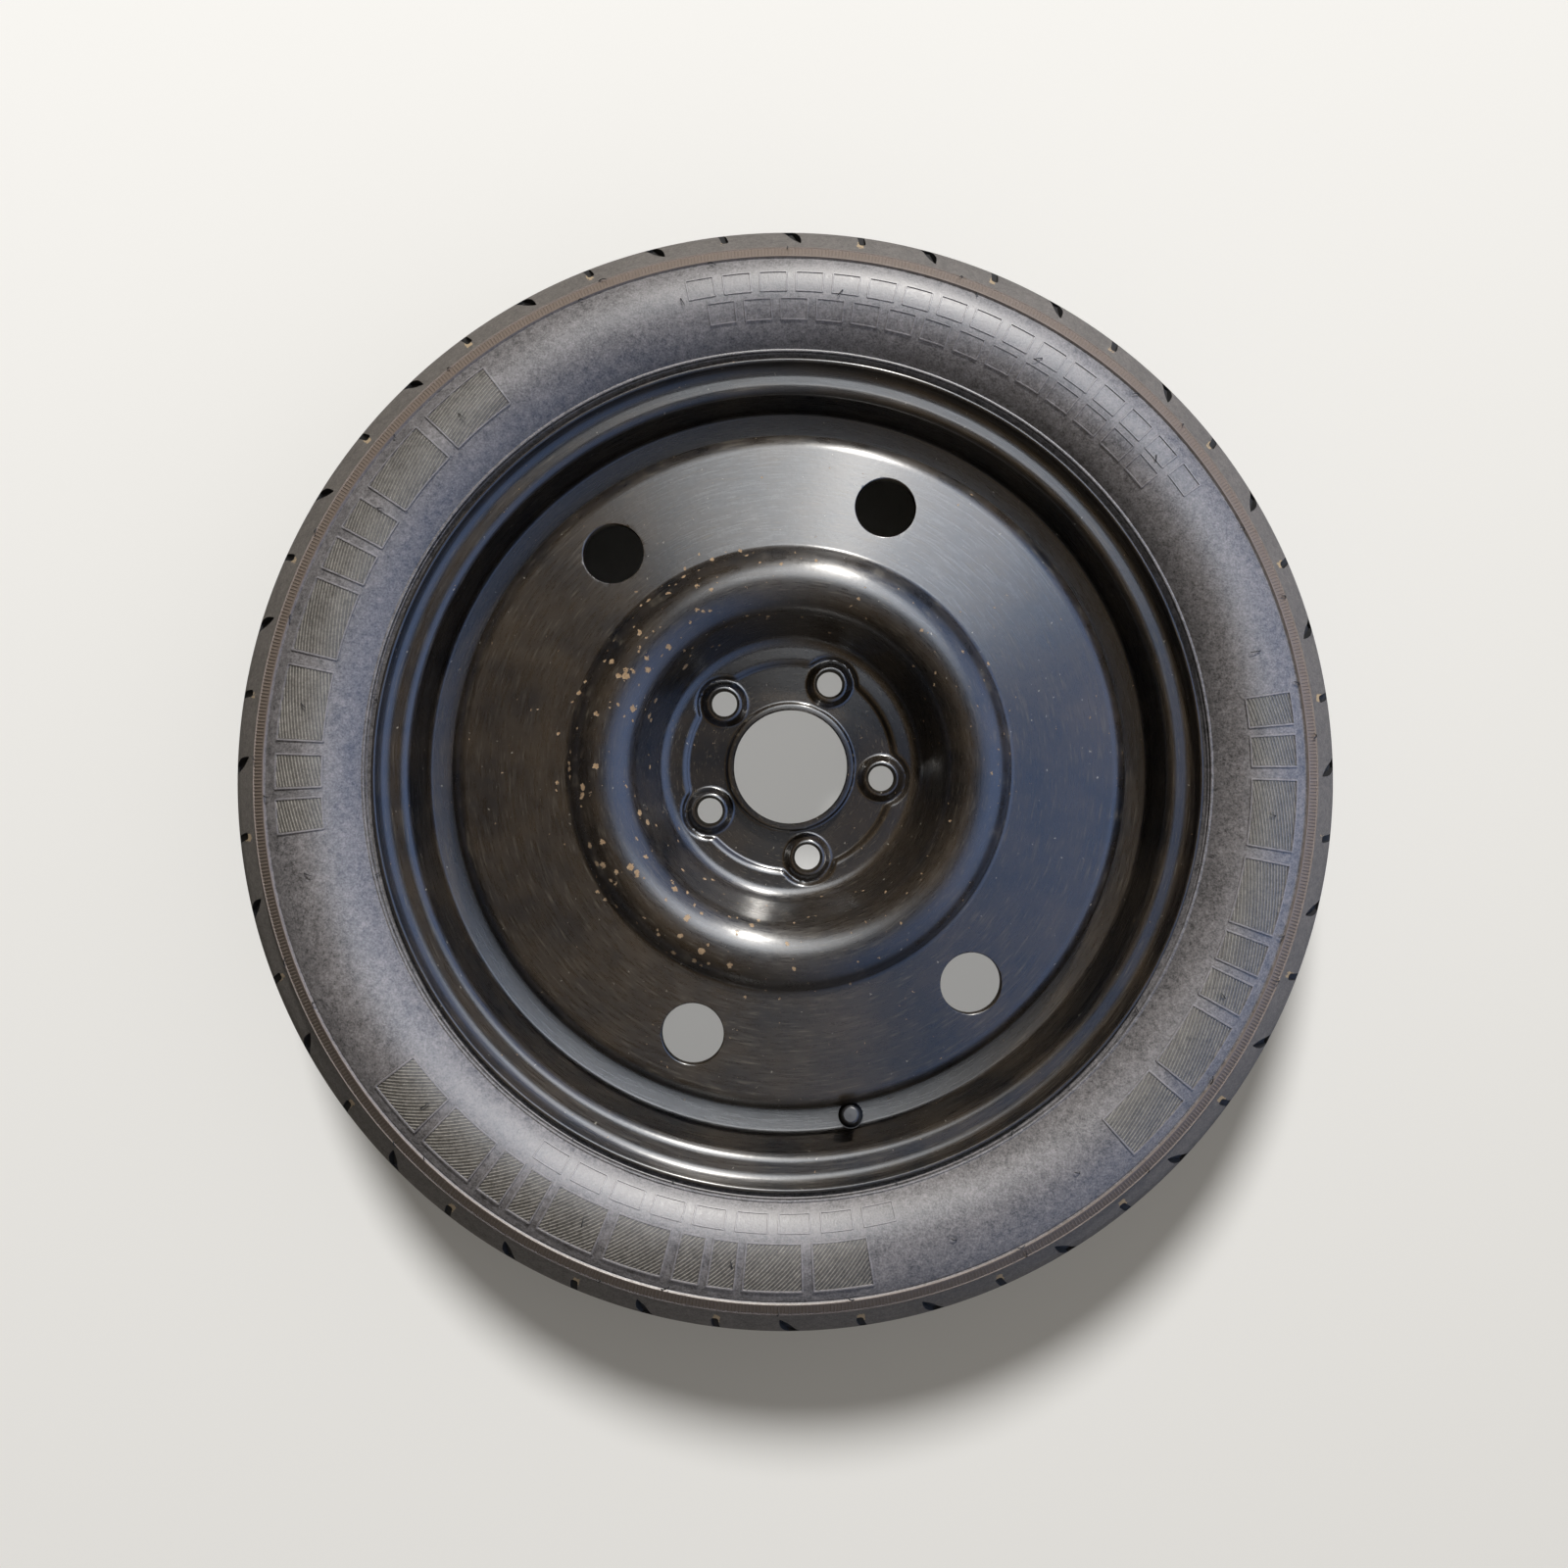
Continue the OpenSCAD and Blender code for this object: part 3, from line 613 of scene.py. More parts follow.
@dataclass(frozen=True)
class DippedPaint:
    """Black cathodic dip paint over pressed steel.

    It gives the eye a thin, slightly uneven black film with a half gloss. Handling and the
    lathe-like press marks run round the wheel and draw its highlights out towards the hub.
    Stones have chipped it to tan and brown specks, and dry dust lies on it.
    """

    name: str = "dip_paint_on_steel"
    film: str = "#101012"
    dust: str = "#4a4034"
    rust: str = "#6a4a30"
    chip_light: str = "#c3ab8a"
    speck: str = "#8d8a84"
    scratch: str = "#4d483f"
    roughness: float = 0.29
    hub_gloss: float = 0.09
    chip_roughness: float = 0.85
    # Length that a radian counts for in the scuffs, in metres
    stretch: float = 0.012
    # Spacing of the orange peel, the scuffs, the chips, the dust specks, the dust's clouds and
    # the chips' ragged edges, and how far those edges stray, in millimetres
    peel_mm: float = 3.0
    scuff_mm: float = 1.1
    chip_mm: float = 4.2
    speck_mm: float = 4.5
    cloud_mm: float = 55.0
    ragged_mm: float = 1.3
    stray_mm: float = 3.0
    # Noise from which dust and scratches start, where they are full, and their range
    dust_span: Quad = (0.38, 0.72, 0.0, 0.5)
    scratch_span: Quad = (0.57, 0.72, 0.0, 0.9)
    # Noise between which the roughness changes, and what is added to it there
    wear_span: Quad = (0.35, 0.8, -0.05, 0.15)
    # Radius, half width and soft edge of the zone with most chips, in millimetres
    chip_zone: Triple = (110.0, 18.0, 20.0)
    # Places to the right and left between which the chips grow, in metres, and their sizes
    chip_span: Quad = (0.04, -0.07, 0.12, 0.42)
    # Size of the chips outside the zone, and of the dust specks, as shares of their spacing
    chip_least: float = 0.13
    speck_size: float = 0.15
    # Radii between which the glossy hub turns into the scuffed crown, in millimetres
    hub_zone: Pair = (66.0, 84.0)

    def build(self) -> Material:
        """Build the material."""
        material, tree = new_material(self.name)
        place = WheelCoordinates.of(tree, self.stretch)
        scuffs = tree.noise(place.ring, self.scuff_mm, 4.0, 0.65)
        peel = tree.noise(place.point, self.peel_mm, 1.0)
        cloud = tree.noise(place.point, self.cloud_mm, 7.0, 0.66)
        ragged = tree.noise(place.point, self.ragged_mm, 3.0)
        bent = tree.vector(
            "MULTIPLY_ADD", ragged.node.outputs["Color"], (self.stray_mm * MM,) * 3, place.point)
        chips = self.spots(tree, bent, self.chip_mm, self.chip_size(tree, place))
        specks = self.spots(tree, bent, self.speck_mm, self.speck_size)
        dusted = tree.mix(tree.span(cloud, *self.dust_span), self.film, self.dust)
        scratched = tree.mix(tree.span(scuffs, *self.scratch_span), dusted, self.scratch)
        sprinkled = tree.mix(specks, scratched, self.speck)
        rust = tree.mix(ragged, self.rust, self.chip_light)
        low, high, least, most = self.wear_span
        worn = tree.span(scuffs, low, high, self.roughness + least, self.roughness + most)
        hub = tree.span(place.radius, *(mm * MM for mm in self.hub_zone), soft=True)
        even = tree.blend(hub, self.roughness - self.hub_gloss, worn)
        scuffed = tree.bump(scuffs, 0.12, 0.12)
        peeled = tree.bump(peel, 0.08, 0.4, scuffed)
        tangent = tree.add("Tangent", {"direction_type": "RADIAL", "axis": "Z"})
        tree.shade({
            "Base Color": tree.mix(chips, sprinkled, rust),
            "Roughness": tree.blend(chips, even, self.chip_roughness), "IOR": 1.6,
            "Anisotropic": 0.7, "Anisotropic Rotation": 0.25, "Tangent": tangent.outputs[0],
            "Normal": tree.bump(chips, 0.5, 0.15, peeled, True),
            "Coat Weight": 0.35, "Coat Roughness": 0.16})
        return material

    def chip_size(self, tree: ShaderTree, place: WheelCoordinates) -> Socket:
        """Largest size of the chips at a place: big on the crown's left, small elsewhere."""
        zone = tree.band(place.radius, *(mm * MM for mm in self.chip_zone))
        across = tree.add("SeparateXYZ", {}, {0: place.point}).outputs[0]
        left = tree.span(across, *self.chip_span, soft=True)
        return tree.math("ADD", tree.math("MULTIPLY", zone, left), self.chip_least)

    def spots(self, tree: ShaderTree, vector: Socket, spacing: float, largest: Value) -> Socket:
        """Mask of scattered spots, few of them large and most too small to be seen.

        Args:
            tree: the material's node tree.
            vector: the place.
            spacing: the mean distance between spots, in millimetres.
            largest: the radius of the largest spots, as a share of the spacing.

        Returns:
            The mask's socket.
        """
        cells = tree.add("TexVoronoi", {}, {
            "Vector": vector, "Scale": 1.0 / (spacing * MM), "Randomness": 1.0})
        chance = tree.add("SeparateXYZ", {}, {0: cells.outputs["Color"]}).outputs[0]
        size = tree.math("MULTIPLY", tree.math("POWER", chance, 6.0), largest)
        inside = tree.math("SUBTRACT", size, cells.outputs["Distance"])
        return tree.span(inside, 0.0, 0.02, soft=True)


@dataclass(frozen=True)
class CuredRubber:
    """Carbon-black tyre rubber, cured in a steel mould.

    It gives the eye a slate surface with a broad satin sheen, clouded by bloom and by
    handling. The serrated band is browner, the tread's shoulder is matt and dusty, and tan
    earth is caught in the shoulder's notches.
    """

    name: str = "cured_tyre_rubber"
    rubber: str = "#39393b"
    bloom: str = "#8d8b8f"
    band: str = "#786d66"
    tread: str = "#777370"
    tread_dark: str = "#4c4946"
    dirt: str = "#b5a184"
    roughness: float = 0.43
    tread_roughness: float = 0.2
    dirt_roughness: float = 0.9
    # Length that a radian counts for in the bloom's clouds, in metres
    stretch: float = 0.22
    # Size of the bloom's clouds, of its mottle, of the mould's grain, of the dirt's grit and of
    # its patches, in millimetres
    cloud_mm: float = 24.0
    mottle_mm: float = 4.0
    grain_mm: float = 1.2
    dirt_mm: float = 2.0
    patch_mm: float = 60.0
    # Weights of clouds and grain beside the mottle, and the sums where bloom starts and is full
    cloud_weight: float = 0.45
    grain_weight: float = 1.1
    bloom_span: Pair = (1.0, 1.6)
    # What bloom adds to the roughness, least and most
    wear: Pair = (-0.06, 0.12)
    # Inner radii of the serrated band and of the tread's shoulder, and their edges' softness
    band_r: float = 308.5
    shoulder_r: float = 317.5
    edge_soft: float = 0.8
    # Earth beside the notches: place in a pair of notches, half width and soft edge, then
    # radius, half width and soft edge in millimetres
    notch_pairs: int = 24
    dirt_turn: Triple = (0.5, 0.014, 0.026)
    dirt_ring: Triple = (325.0, 1.6, 3.4)
    dirt_weight: float = 0.85
    dirt_span: Quad = (0.76, 0.86, 0.0, 0.85)

    def build(self) -> Material:
        """Build the material."""
        material, tree = new_material(self.name)
        place = WheelCoordinates.of(tree, self.stretch)
        cloud = tree.noise(place.ring, self.cloud_mm, 8.0, 0.7)
        mottle = tree.noise(place.point, self.mottle_mm, 5.0, 0.75)
        grain = tree.noise(place.point, self.grain_mm, 3.0, 0.7)
        broken = tree.math("MULTIPLY_ADD", cloud, self.cloud_weight, mottle)
        both = tree.math("MULTIPLY_ADD", grain, self.grain_weight, broken)
        bloomed = tree.span(both, *self.bloom_span)
        skin = tree.mix(bloomed, self.rubber, self.bloom)
        banded = tree.mix(self.beyond(tree, place, self.band_r), skin, self.band)
        outer = self.beyond(tree, place, self.shoulder_r)
        tread = tree.mix(bloomed, self.tread_dark, self.tread)
        dirty = self.dirt_mask(tree, place)
        worn = tree.span(both, *self.bloom_span, *(self.roughness + more for more in self.wear))
        matt = tree.blend(outer, worn, self.roughness + self.tread_roughness)
        tree.shade({
            "Base Color": tree.mix(dirty, tree.mix(outer, banded, tread), self.dirt),
            "Roughness": tree.blend(dirty, matt, self.dirt_roughness),
            "Normal": tree.bump(grain, 0.4, 0.3), "IOR": 1.52, "Specular IOR Level": 0.75})
        return material

    def beyond(self, tree: ShaderTree, place: WheelCoordinates, radius: float) -> Socket:
        """Mask that is 1 outside a radius in millimetres."""
        return tree.span(place.radius, (radius - self.edge_soft) * MM,
                         (radius + self.edge_soft) * MM, soft=True)

    def dirt_mask(self, tree: ShaderTree, place: WheelCoordinates) -> Socket:
        """Mask of the earth that rims the inner end of every other notch."""
        turns = tree.math("MULTIPLY", place.angle, self.notch_pairs / FULL_TURN)
        near = tree.band(tree.math("FRACT", turns), *self.dirt_turn)
        ring = tree.band(place.radius, *(mm * MM for mm in self.dirt_ring))
        grit = tree.noise(place.point, self.dirt_mm, 4.0, 0.7)
        patch = tree.noise(place.point, self.patch_mm, 1.0)
        uneven = tree.math("MULTIPLY", tree.math("MULTIPLY", near, ring), patch)
        raised = tree.math("MULTIPLY_ADD", uneven, self.dirt_weight, grit)
        return tree.span(raised, *self.dirt_span, soft=True)


@dataclass(frozen=True)
class PlainFinish:
    """A small part's finish: one colour broken up by a fine grain in tone and relief."""

    name: str
    colour: str
    shade: str
    roughness: float
    metallic: float = 0.0
    grain_mm: float = 0.8
    relief: float = 0.15
    wear: Pair = (-0.08, 0.12)

    def build(self) -> Material:
        """Build the material."""
        material, tree = new_material(self.name)
        grain = tree.noise(tree.add("TexCoord").outputs["Object"], self.grain_mm, 3.0, 0.6)
        tree.shade({
            "Base Color": tree.mix(grain, self.colour, self.shade),
            "Roughness": tree.span(grain, 0.0, 1.0, *(self.roughness + w for w in self.wear)),
            "Metallic": self.metallic, "Normal": tree.bump(grain, self.relief, 0.1)})
        return material


# Tyre

@dataclass
class Tyre:
    """The moulded tyre: carcass, serrated shoulder bands, hatched blocks and mould hairs."""

    outer_r: float
    half_width: float
    widest_r: float = 285.0
    sidewall_bend: float = 43.0
    sidewall_t: float = 7.0
    tread_bend: float = 120.0
    tread_half: float = 55.0
    tread_t: float = 12.0
    shoulder_bend: float = 5.0
    grooves: tuple[float, ...] = (13.0, 37.0)
    groove_w: float = 5.0
    groove_depth: float = 3.6
    groove_draft: float = 0.4
    # Places across half of the tread where its face has points between the grooves
    tread_stops: tuple[float, ...] = (0.0, 5.0, 20.0, 26.0, 31.0, 43.0, 47.0)
    shoulder_steps: int = 5
    notch_pairs: int = 24
    # Length, width at the tread, depth and lean of the pointed and of the blunt notches
    notch_pointed: Quad = (13.0, 7.4, 4.8, 24.0)
    notch_blunt: Quad = (8.5, 4.4, 3.2, 8.0)
    # A notch shorter than this has the blunt shape
    blunt_below: float = 10.0
    # Shapes of the notches' tips: share of the length, and half width as a share of the width
    pointed_tip: tuple[Pair, ...] = ((0.0, 0.03), (0.16, 0.17), (0.4, 0.33), (0.7, 0.45))
    blunt_tip: tuple[Pair, ...] = ((0.0, 0.22), (0.10, 0.42), (0.22, 0.5))
    # How far a notch's core stands out of the tread
    core_out: float = 8.0
    band_start: float = 42.0
    band_end: float = 57.0
    rib_turn: float = 139.0
    # Relief at the band's start, at its end and round the rib: turn from there, and height
    start_relief: tuple[Pair, ...] = (
        (-0.7, 0.0), (-0.1, 1.0), (0.9, 1.0), (1.5, 0.3), (5.5, 0.3), (9.5, 0.3))
    end_relief: tuple[Pair, ...] = (
        (-2.2, 0.3), (-1.6, 1.1), (-0.2, 1.1), (0.5, -0.45), (1.4, -0.45), (2.3, 0.0))
    rib_relief: tuple[Pair, ...] = (
        (-2.8, 0.0), (-2.2, 0.9), (-1.5, 1.2), (-0.9, 0.9), (-0.3, -0.5), (0.5, -0.5),
        (1.0, 0.6), (1.7, 0.7), (2.3, 0.0))
    seat_r: float = 231.0
    seat_taper: float = 5.0
    bead_w: float = 19.0
    bead_face: float = 57.15
    foot_bend: float = 3.5
    curl: Pair = (239.0, 66.65)
    curl_bend: float = 9.5
    steps_in_pair: int = 16
    # Ribs round a shoulder band, where they start and end in it, their width as a share of
    # their distance, the height of their middle over the sidewall and half of their own height
    serrations: int = 960
    serration_ends: Pair = (1.3, -2.0)
    serration_share: float = 0.55
    serration_foot: float = 0.3
    serration_half: float = 0.35
    # Turn of the outer edge and depth of the rows of blocks on the sidewall
    block_row: Pair = (69.0, 27.5)
    # Parts of a pitch where blocks stand and their share of it, for a wide one and a pair
    wide_block: tuple[tuple[float, ...], float] = ((0.5,), 0.84)
    narrow_blocks: tuple[tuple[float, ...], float] = ((0.27, 0.77), 0.38)
    # Height of a block's ground over the sidewall and of its foot in it
    pad_levels: Pair = (0.12, -0.5)
    # Width, height, spacing and margin of the hatching's ribs
    hatching: Quad = (1.0, 0.45, 1.9, 1.6)
    # Width and height of the raised edges of blocks and of plain frames
    block_edge: Pair = (1.5, 0.9)
    frame_edge: Pair = (1.2, 0.6)
    frame_share: float = 0.74
    # First and last angle, number and slope of the hatching of each group of blocks
    block_groups: tuple[tuple[float, float, int, float], ...] = (
        (127.0, 188.0, 6, 12.0), (217.0, 280.0, 8, 48.0), (311.0, 369.0, 6, 12.0))
    # Outer turn, depth, first and last angle and number of each row of plain frames
    frame_rows: tuple[tuple[float, float, float, float, int], ...] = (
        (72.5, 12.5, 34.0, 103.0, 16), (95.0, 12.5, 38.0, 101.0, 14),
        (113.0, 11.0, 236.0, 284.0, 9))
    # Number, width and reaches of lean and length of the mould hairs, and a turn of their own
    hairs: int = 64
    hair_w: float = 0.7
    hair_lean: Pair = (40.0, 150.0)
    hair_length: Pair = (3.5, 6.5)
    hair_turn: float = 86.0
    rubber: CuredRubber = field(default_factory=CuredRubber)

    def sidewall_point(self, turn: float, height: float = 0.0) -> Pair:
        """A point in section on the sidewall's arc, at a height over it."""
        reach = self.sidewall_bend + height
        centre_z = self.half_width - self.sidewall_bend
        return self.widest_r + reach * cos_d(turn), centre_z + reach * sin_d(turn)

    def tread_line(self) -> Outline:
        """The tread's face in section, with its grooves, from the middle to the shoulder."""
        centre_r = self.outer_r - self.tread_bend
        line: Outline = []

        def surface(z: float, depth: float = 0.0) -> Pair:
            return (centre_r + math.sqrt(self.tread_bend ** 2 - z * z) - depth, z)

        half, draft = self.groove_w / 2.0, self.groove_draft
        for stop in sorted(self.tread_stops + self.grooves):
            if stop in self.grooves:
                line += [surface(stop - half), surface(stop - half + draft, self.groove_depth),
                         surface(stop + half - draft, self.groove_depth), surface(stop + half)]
            else:
                line.append(surface(stop))
        edge = surface(self.tread_half)
        low = surface(self.tread_half - 0.9 * self.shoulder_bend)
        end = self.sidewall_point(self.band_start)
        reach = math.dist(edge, end)
        high = (edge[0] + self.shoulder_bend * (end[0] - edge[0]) / reach,
                edge[1] + self.shoulder_bend * (end[1] - edge[1]) / reach)
        for i in range(self.shoulder_steps + 1):
            t = i / self.shoulder_steps
            line.append(tuple(
                (1 - t) ** 2 * low[k] + 2 * t * (1 - t) * edge[k] + t * t * high[k]
                for k in (0, 1)))
        return line

    def side_line(self) -> Outline:
        """The sidewall in section, from the shoulder's band to the rib beside the rim."""
        plain = range(round(self.band_end + 6), round(self.rib_turn - 3), 4)
        parts = ((self.band_start, self.start_relief), (self.band_end, self.end_relief),
                 (0.0, [(float(turn), 0.0) for turn in plain]), (self.rib_turn, self.rib_relief))
        return [self.sidewall_point(place + turn, height)
                for place, relief in parts for turn, height in relief]

    def hidden_line(self) -> Outline:
        """The faces on the rim and the lining, from the flange's curl to the tread's middle."""
        slope = tan_d(self.seat_taper)
        toe = (self.seat_r - self.bead_w * slope, self.bead_face - self.bead_w)
        line = Bend(self.curl, self.curl_bend, 320.0, 270.0).points(0.0, 10.0)
        foot = (self.seat_r + self.foot_bend, self.bead_face - self.foot_bend)
        line += Bend(foot, self.foot_bend, 90.0, 180.0 - self.seat_taper).points(0.0, 20.0)
        line += [toe, (toe[0] + 1.5, toe[1] - 2.5), (self.seat_r + 8.0, toe[1] + 1.0)]
        inner = self.sidewall_bend - self.sidewall_t
        centre = (self.widest_r, self.half_width - self.sidewall_bend)
        line += Bend(centre, inner, 150.0, 38.0).points(0.0, 14.0)
        crown = (self.outer_r - self.tread_bend, 0.0)
        line += Bend(crown, self.tread_bend - self.tread_t, 23.5, 0.0).points(0.0, 6.0)
        return line

    def outline(self) -> Outline:
        """The whole section, both halves."""
        half = self.tread_line() + self.side_line() + self.hidden_line()
        other = [(r, -z) for r, z in reversed(half[1:-1])]
        return half + other

    def notch_core(self, size: Quad, degrees: float, side: int) -> Piece:
        """Model the core that leaves one shoulder notch, narrowing towards the sidewall.

        Args:
            size: the notch's length, width, depth and lean.
            degrees: its angle round the wheel.
            side: 1 for the outboard shoulder and -1 for the inboard one.

        Returns:
            The closed core in its place.
        """
        length, width, depth, lean = size
        tip = self.blunt_tip if length < self.blunt_below else self.pointed_tip
        edge = [(-length * (1.0 - share), half * width) for share, half in tip]
        edge.append((self.core_out, 0.5 * width))
        core = outline_ring("notch_core", edge + [(x, -y) for x, y in reversed(edge)])
        with edit_mode(core):
            bpy.ops.mesh.edge_face_add()
            bpy.ops.mesh.extrude_region_move(
                TRANSFORM_OT_translate={"value": (0.0, 2.0 * depth * MM, 0.0)})
            close_up()
        centre_r = self.outer_r - self.tread_bend
        edge_r = centre_r + math.sqrt(self.tread_bend ** 2 - self.tread_half ** 2)
        core.data.transform(
            turned(degrees) @ moved(edge_r, 0.0, side * self.tread_half)
            @ turned(45.0 * side, "Y") @ turned(lean) @ moved(0.0, 0.0, depth)
            @ turned(-90.0, "X"))
        return core

    def build_carcass(self, rubber: Material, painted_notch_shade: Material) -> Piece:
        """Build the tyre from one sector with two notches a side, spun round the wheel.

        Args:
            rubber: the finish of its outer faces.
            painted_notch_shade: the near-black finish inside the notches, painted shade there.

        Returns:
            The carcass, dressed.
        """
        pair = 360.0 / self.notch_pairs
        sector = outline_ring("tyre_carcass", self.outline())
        # Spin turns clockwise round +Z, so the sector runs back from here to -pair / 4
        sector.data.transform(turned(0.75 * pair))
        with edit_mode(sector):
            bpy.ops.mesh.edge_face_add()
            bpy.ops.mesh.spin(
                steps=self.steps_in_pair, angle=math.radians(pair),
                center=(0, 0, 0), axis=(0, 0, 1))
            close_up()
        log.info("sector: %d faces", len(sector.data.polygons))
        cores = [
            self.notch_core(size, degrees, side)
            for size, degrees in ((self.notch_pointed, 0.0), (self.notch_blunt, pair / 2.0))
            for side in (1, -1)]
        core = join(cores, "notch_cores")
        for piece in (sector, core):
            piece.data.materials.append(rubber)
            piece.data.materials.append(painted_notch_shade)
        # The cores' faces take the near-black finish: painted shade inside the notches
        for polygon in core.data.polygons:
            polygon.material_index = 1
        cut_away(sector, core)
        self.open_ends(sector, pair)
        with edit_mode(sector):
            bpy.ops.mesh.spin(
                steps=self.notch_pairs - 1, dupli=True,
                angle=FULL_TURN * (self.notch_pairs - 1) / self.notch_pairs,
                center=(0, 0, 0), axis=(0, 0, 1))
            close_up(2.0 * WELD_MM)
        smooth(sector, 32.0)
        return sector

    def open_ends(self, sector: Piece, pair: float) -> None:
        """Delete the two flat faces that close a sector, so that sectors can be joined."""
        ends = [math.radians(-pair / 4.0), math.radians(pair * 0.75)]
        shell = bmesh.new()
        shell.from_mesh(sector.data)
        normals = [Vector((-math.sin(a), math.cos(a), 0.0)) for a in ends]
        doomed = [
            f for f in shell.faces
            if any(all(abs(v.co.dot(n)) < ON_PLANE for v in f.verts) for n in normals)]
        bmesh.ops.delete(shell, geom=doomed, context="FACES")
        shell.to_mesh(sector.data)
        shell.free()

    def build_serrations(self) -> Piece:
        """Build the fine ribs across both shoulder bands.

        They are 2 mm apart, as in the photograph.
        """
        bar = unit_bar(3, 0.35)
        step = 360.0 / self.serrations
        first = self.band_start + self.serration_ends[0]
        last = self.band_end + self.serration_ends[1]
        width = self.serration_share * FULL_TURN * self.widest_r / self.serrations

        def wrapper(degrees: float, side: int) -> Wrap:
            def wrap(p: Vector) -> Vector:
                turn = first + (last - first) * p.y
                radius, height = self.sidewall_point(
                    turn, self.serration_foot + self.serration_half * p.z)
                return polar(radius, degrees + math.degrees(side * p.x * width / radius),
                             side * height)
            return wrap

        wraps = [wrapper(i * step, side) for i in range(self.serrations) for side in (1, -1)]
        return wrap_copies("shoulder_serrations", bar, wraps)

    def patch_point(self, middle: float, start: float, u: float, v: float, height: float) -> Vector:
        """A point on a patch of the outboard sidewall.

        Args:
            middle: the patch's angle round the wheel.
            start: the turn of its outer edge in section.
            u: distance round the tyre from the patch's middle.
            v: distance inwards from its outer edge.
            height: height over the sidewall.

        Returns:
            The point in metres.
        """
        turn = start + math.degrees(v / self.sidewall_bend)
        radius, level = self.sidewall_point(turn, height)
        return polar(radius, middle + math.degrees(u / self.widest_r), level)

    def ridge(self, middle: float, start: float, ends: Ends, width: float, height: float) -> Wrap:
        """Wrap a unit bar between two points of a patch.

        Args:
            middle: the patch's angle round the wheel.
            start: the turn of its outer edge in section.
            ends: the ridge's two ends on the patch.
            width: the ridge's width at its foot.
            height: its height.

        Returns:
            The function that bends the bar into place.
        """
        (u0, v0), (u1, v1) = ends
        reach = math.dist(*ends)
        du, dv = (u1 - u0) / reach, (v1 - v0) / reach

        def wrap(p: Vector) -> Vector:
            along, across = p.y * reach, p.x * width
            return self.patch_point(middle, start, u0 + du * along - dv * across,
                                    v0 + dv * along + du * across, height * p.z)
        return wrap

    def block_places(self) -> list[Triple]:
        """Angle, width and hatching slope of each block, in every third place a narrow pair."""
        places = []
        for first, last, count, slope in self.block_groups:
            pitch = (last - first) / count
            for i in range(count):
                parts, share = self.wide_block if i % 3 != 2 else self.narrow_blocks
                width = math.radians(share * pitch) * self.widest_r
                places += [(first + (i + part) * pitch, width, slope) for part in parts]
        return places

    def build_blocks(self, dusty: Material, rubbed: Material) -> tuple[Piece, Piece]:
        """Build plain hatched blocks and rows of plain frames on the sidewall.

        Args:
            dusty: the finish of the blocks' ground.
            rubbed: the finish of the hatching's ribs.

        Returns:
            The pads with their hatching, and the raised edges of blocks and frames.
        """
        start, depth = self.block_row
        top, foot = self.pad_levels
        rib_w, rib_h, spacing, margin = self.hatching
        hatching, pads, edges = [], [], []

        def padder(middle: float, width: float) -> Wrap:
            return lambda p: self.patch_point(
                middle, start, p.y * width, (p.x + 0.5) * depth, top if p.z > -0.5 else foot)

        for middle, width, slope in self.block_places():
            pads.append(padder(middle, width))
            hatching += [self.ridge(middle, start, ends, rib_w, rib_h)
                         for ends in hatch_lines(width - margin, depth, slope, spacing)]
            edges += self.frame_ridges(middle, start, width, depth, *self.block_edge)
        for turn, row_depth, first, last, count in self.frame_rows:
            pitch = (last - first) / count
            width = math.radians(self.frame_share * pitch) * self.widest_r
            for i in range(count):
                edges += self.frame_ridges(
                    first + (i + 0.5) * pitch, turn, width, row_depth, *self.frame_edge)
        plates = wrap_copies("block_pads", unit_pad(10, 8), pads)
        ribs = wrap_copies("block_hatching", unit_bar(6, 0.4), hatching)
        smooth(plates)
        dress(plates, dusty)
        dress(ribs, rubbed)
        return join([plates, ribs], "sidewall_blocks"), wrap_copies(
            "sidewall_frames", unit_bar(8, 0.5), edges)

    def frame_ridges(
        self, middle: float, start: float, width: float, depth: float, wide: float, high: float,
    ) -> list[Wrap]:
        """The four raised edges of a block or frame."""
        half = width / 2.0
        corners = [(-half, 0.0), (half, 0.0), (half, depth), (-half, depth)]
        return [self.ridge(middle, start, (corners[i - 1], corners[i]), wide, high)
                for i in range(4)]

    def build_hairs(self) -> Piece:
        """Build the thin hairs of rubber that the mould's air vents leave."""
        hair_turns = (self.band_start, self.band_end, self.rib_turn - 2.0, self.hair_turn)
        wraps = []

        def hair(degrees: float, turn: float, lean: float, length: float) -> Wrap:
            c, s = cos_d(lean), sin_d(lean)

            def wrap(p: Vector) -> Vector:
                along, across = p.y * length, p.x * self.hair_w * (1.0 - 0.5 * p.y)
                lift = 0.5 + 1.6 * math.sin(2.4 * p.y) + 0.25 * p.z
                return self.patch_point(degrees, turn, c * along - s * across,
                                        s * along + c * across, lift)
            return wrap

        for i in range(self.hairs):
            turn = hair_turns[i % len(hair_turns)]
            place = (i + random.uniform(-0.8, 0.8)) * 360.0 / self.hairs
            wraps.append(hair(place, turn, random.uniform(*self.hair_lean),
                              random.uniform(*self.hair_length)))
        return wrap_copies("mould_hairs", unit_bar(5, 0.7), wraps)

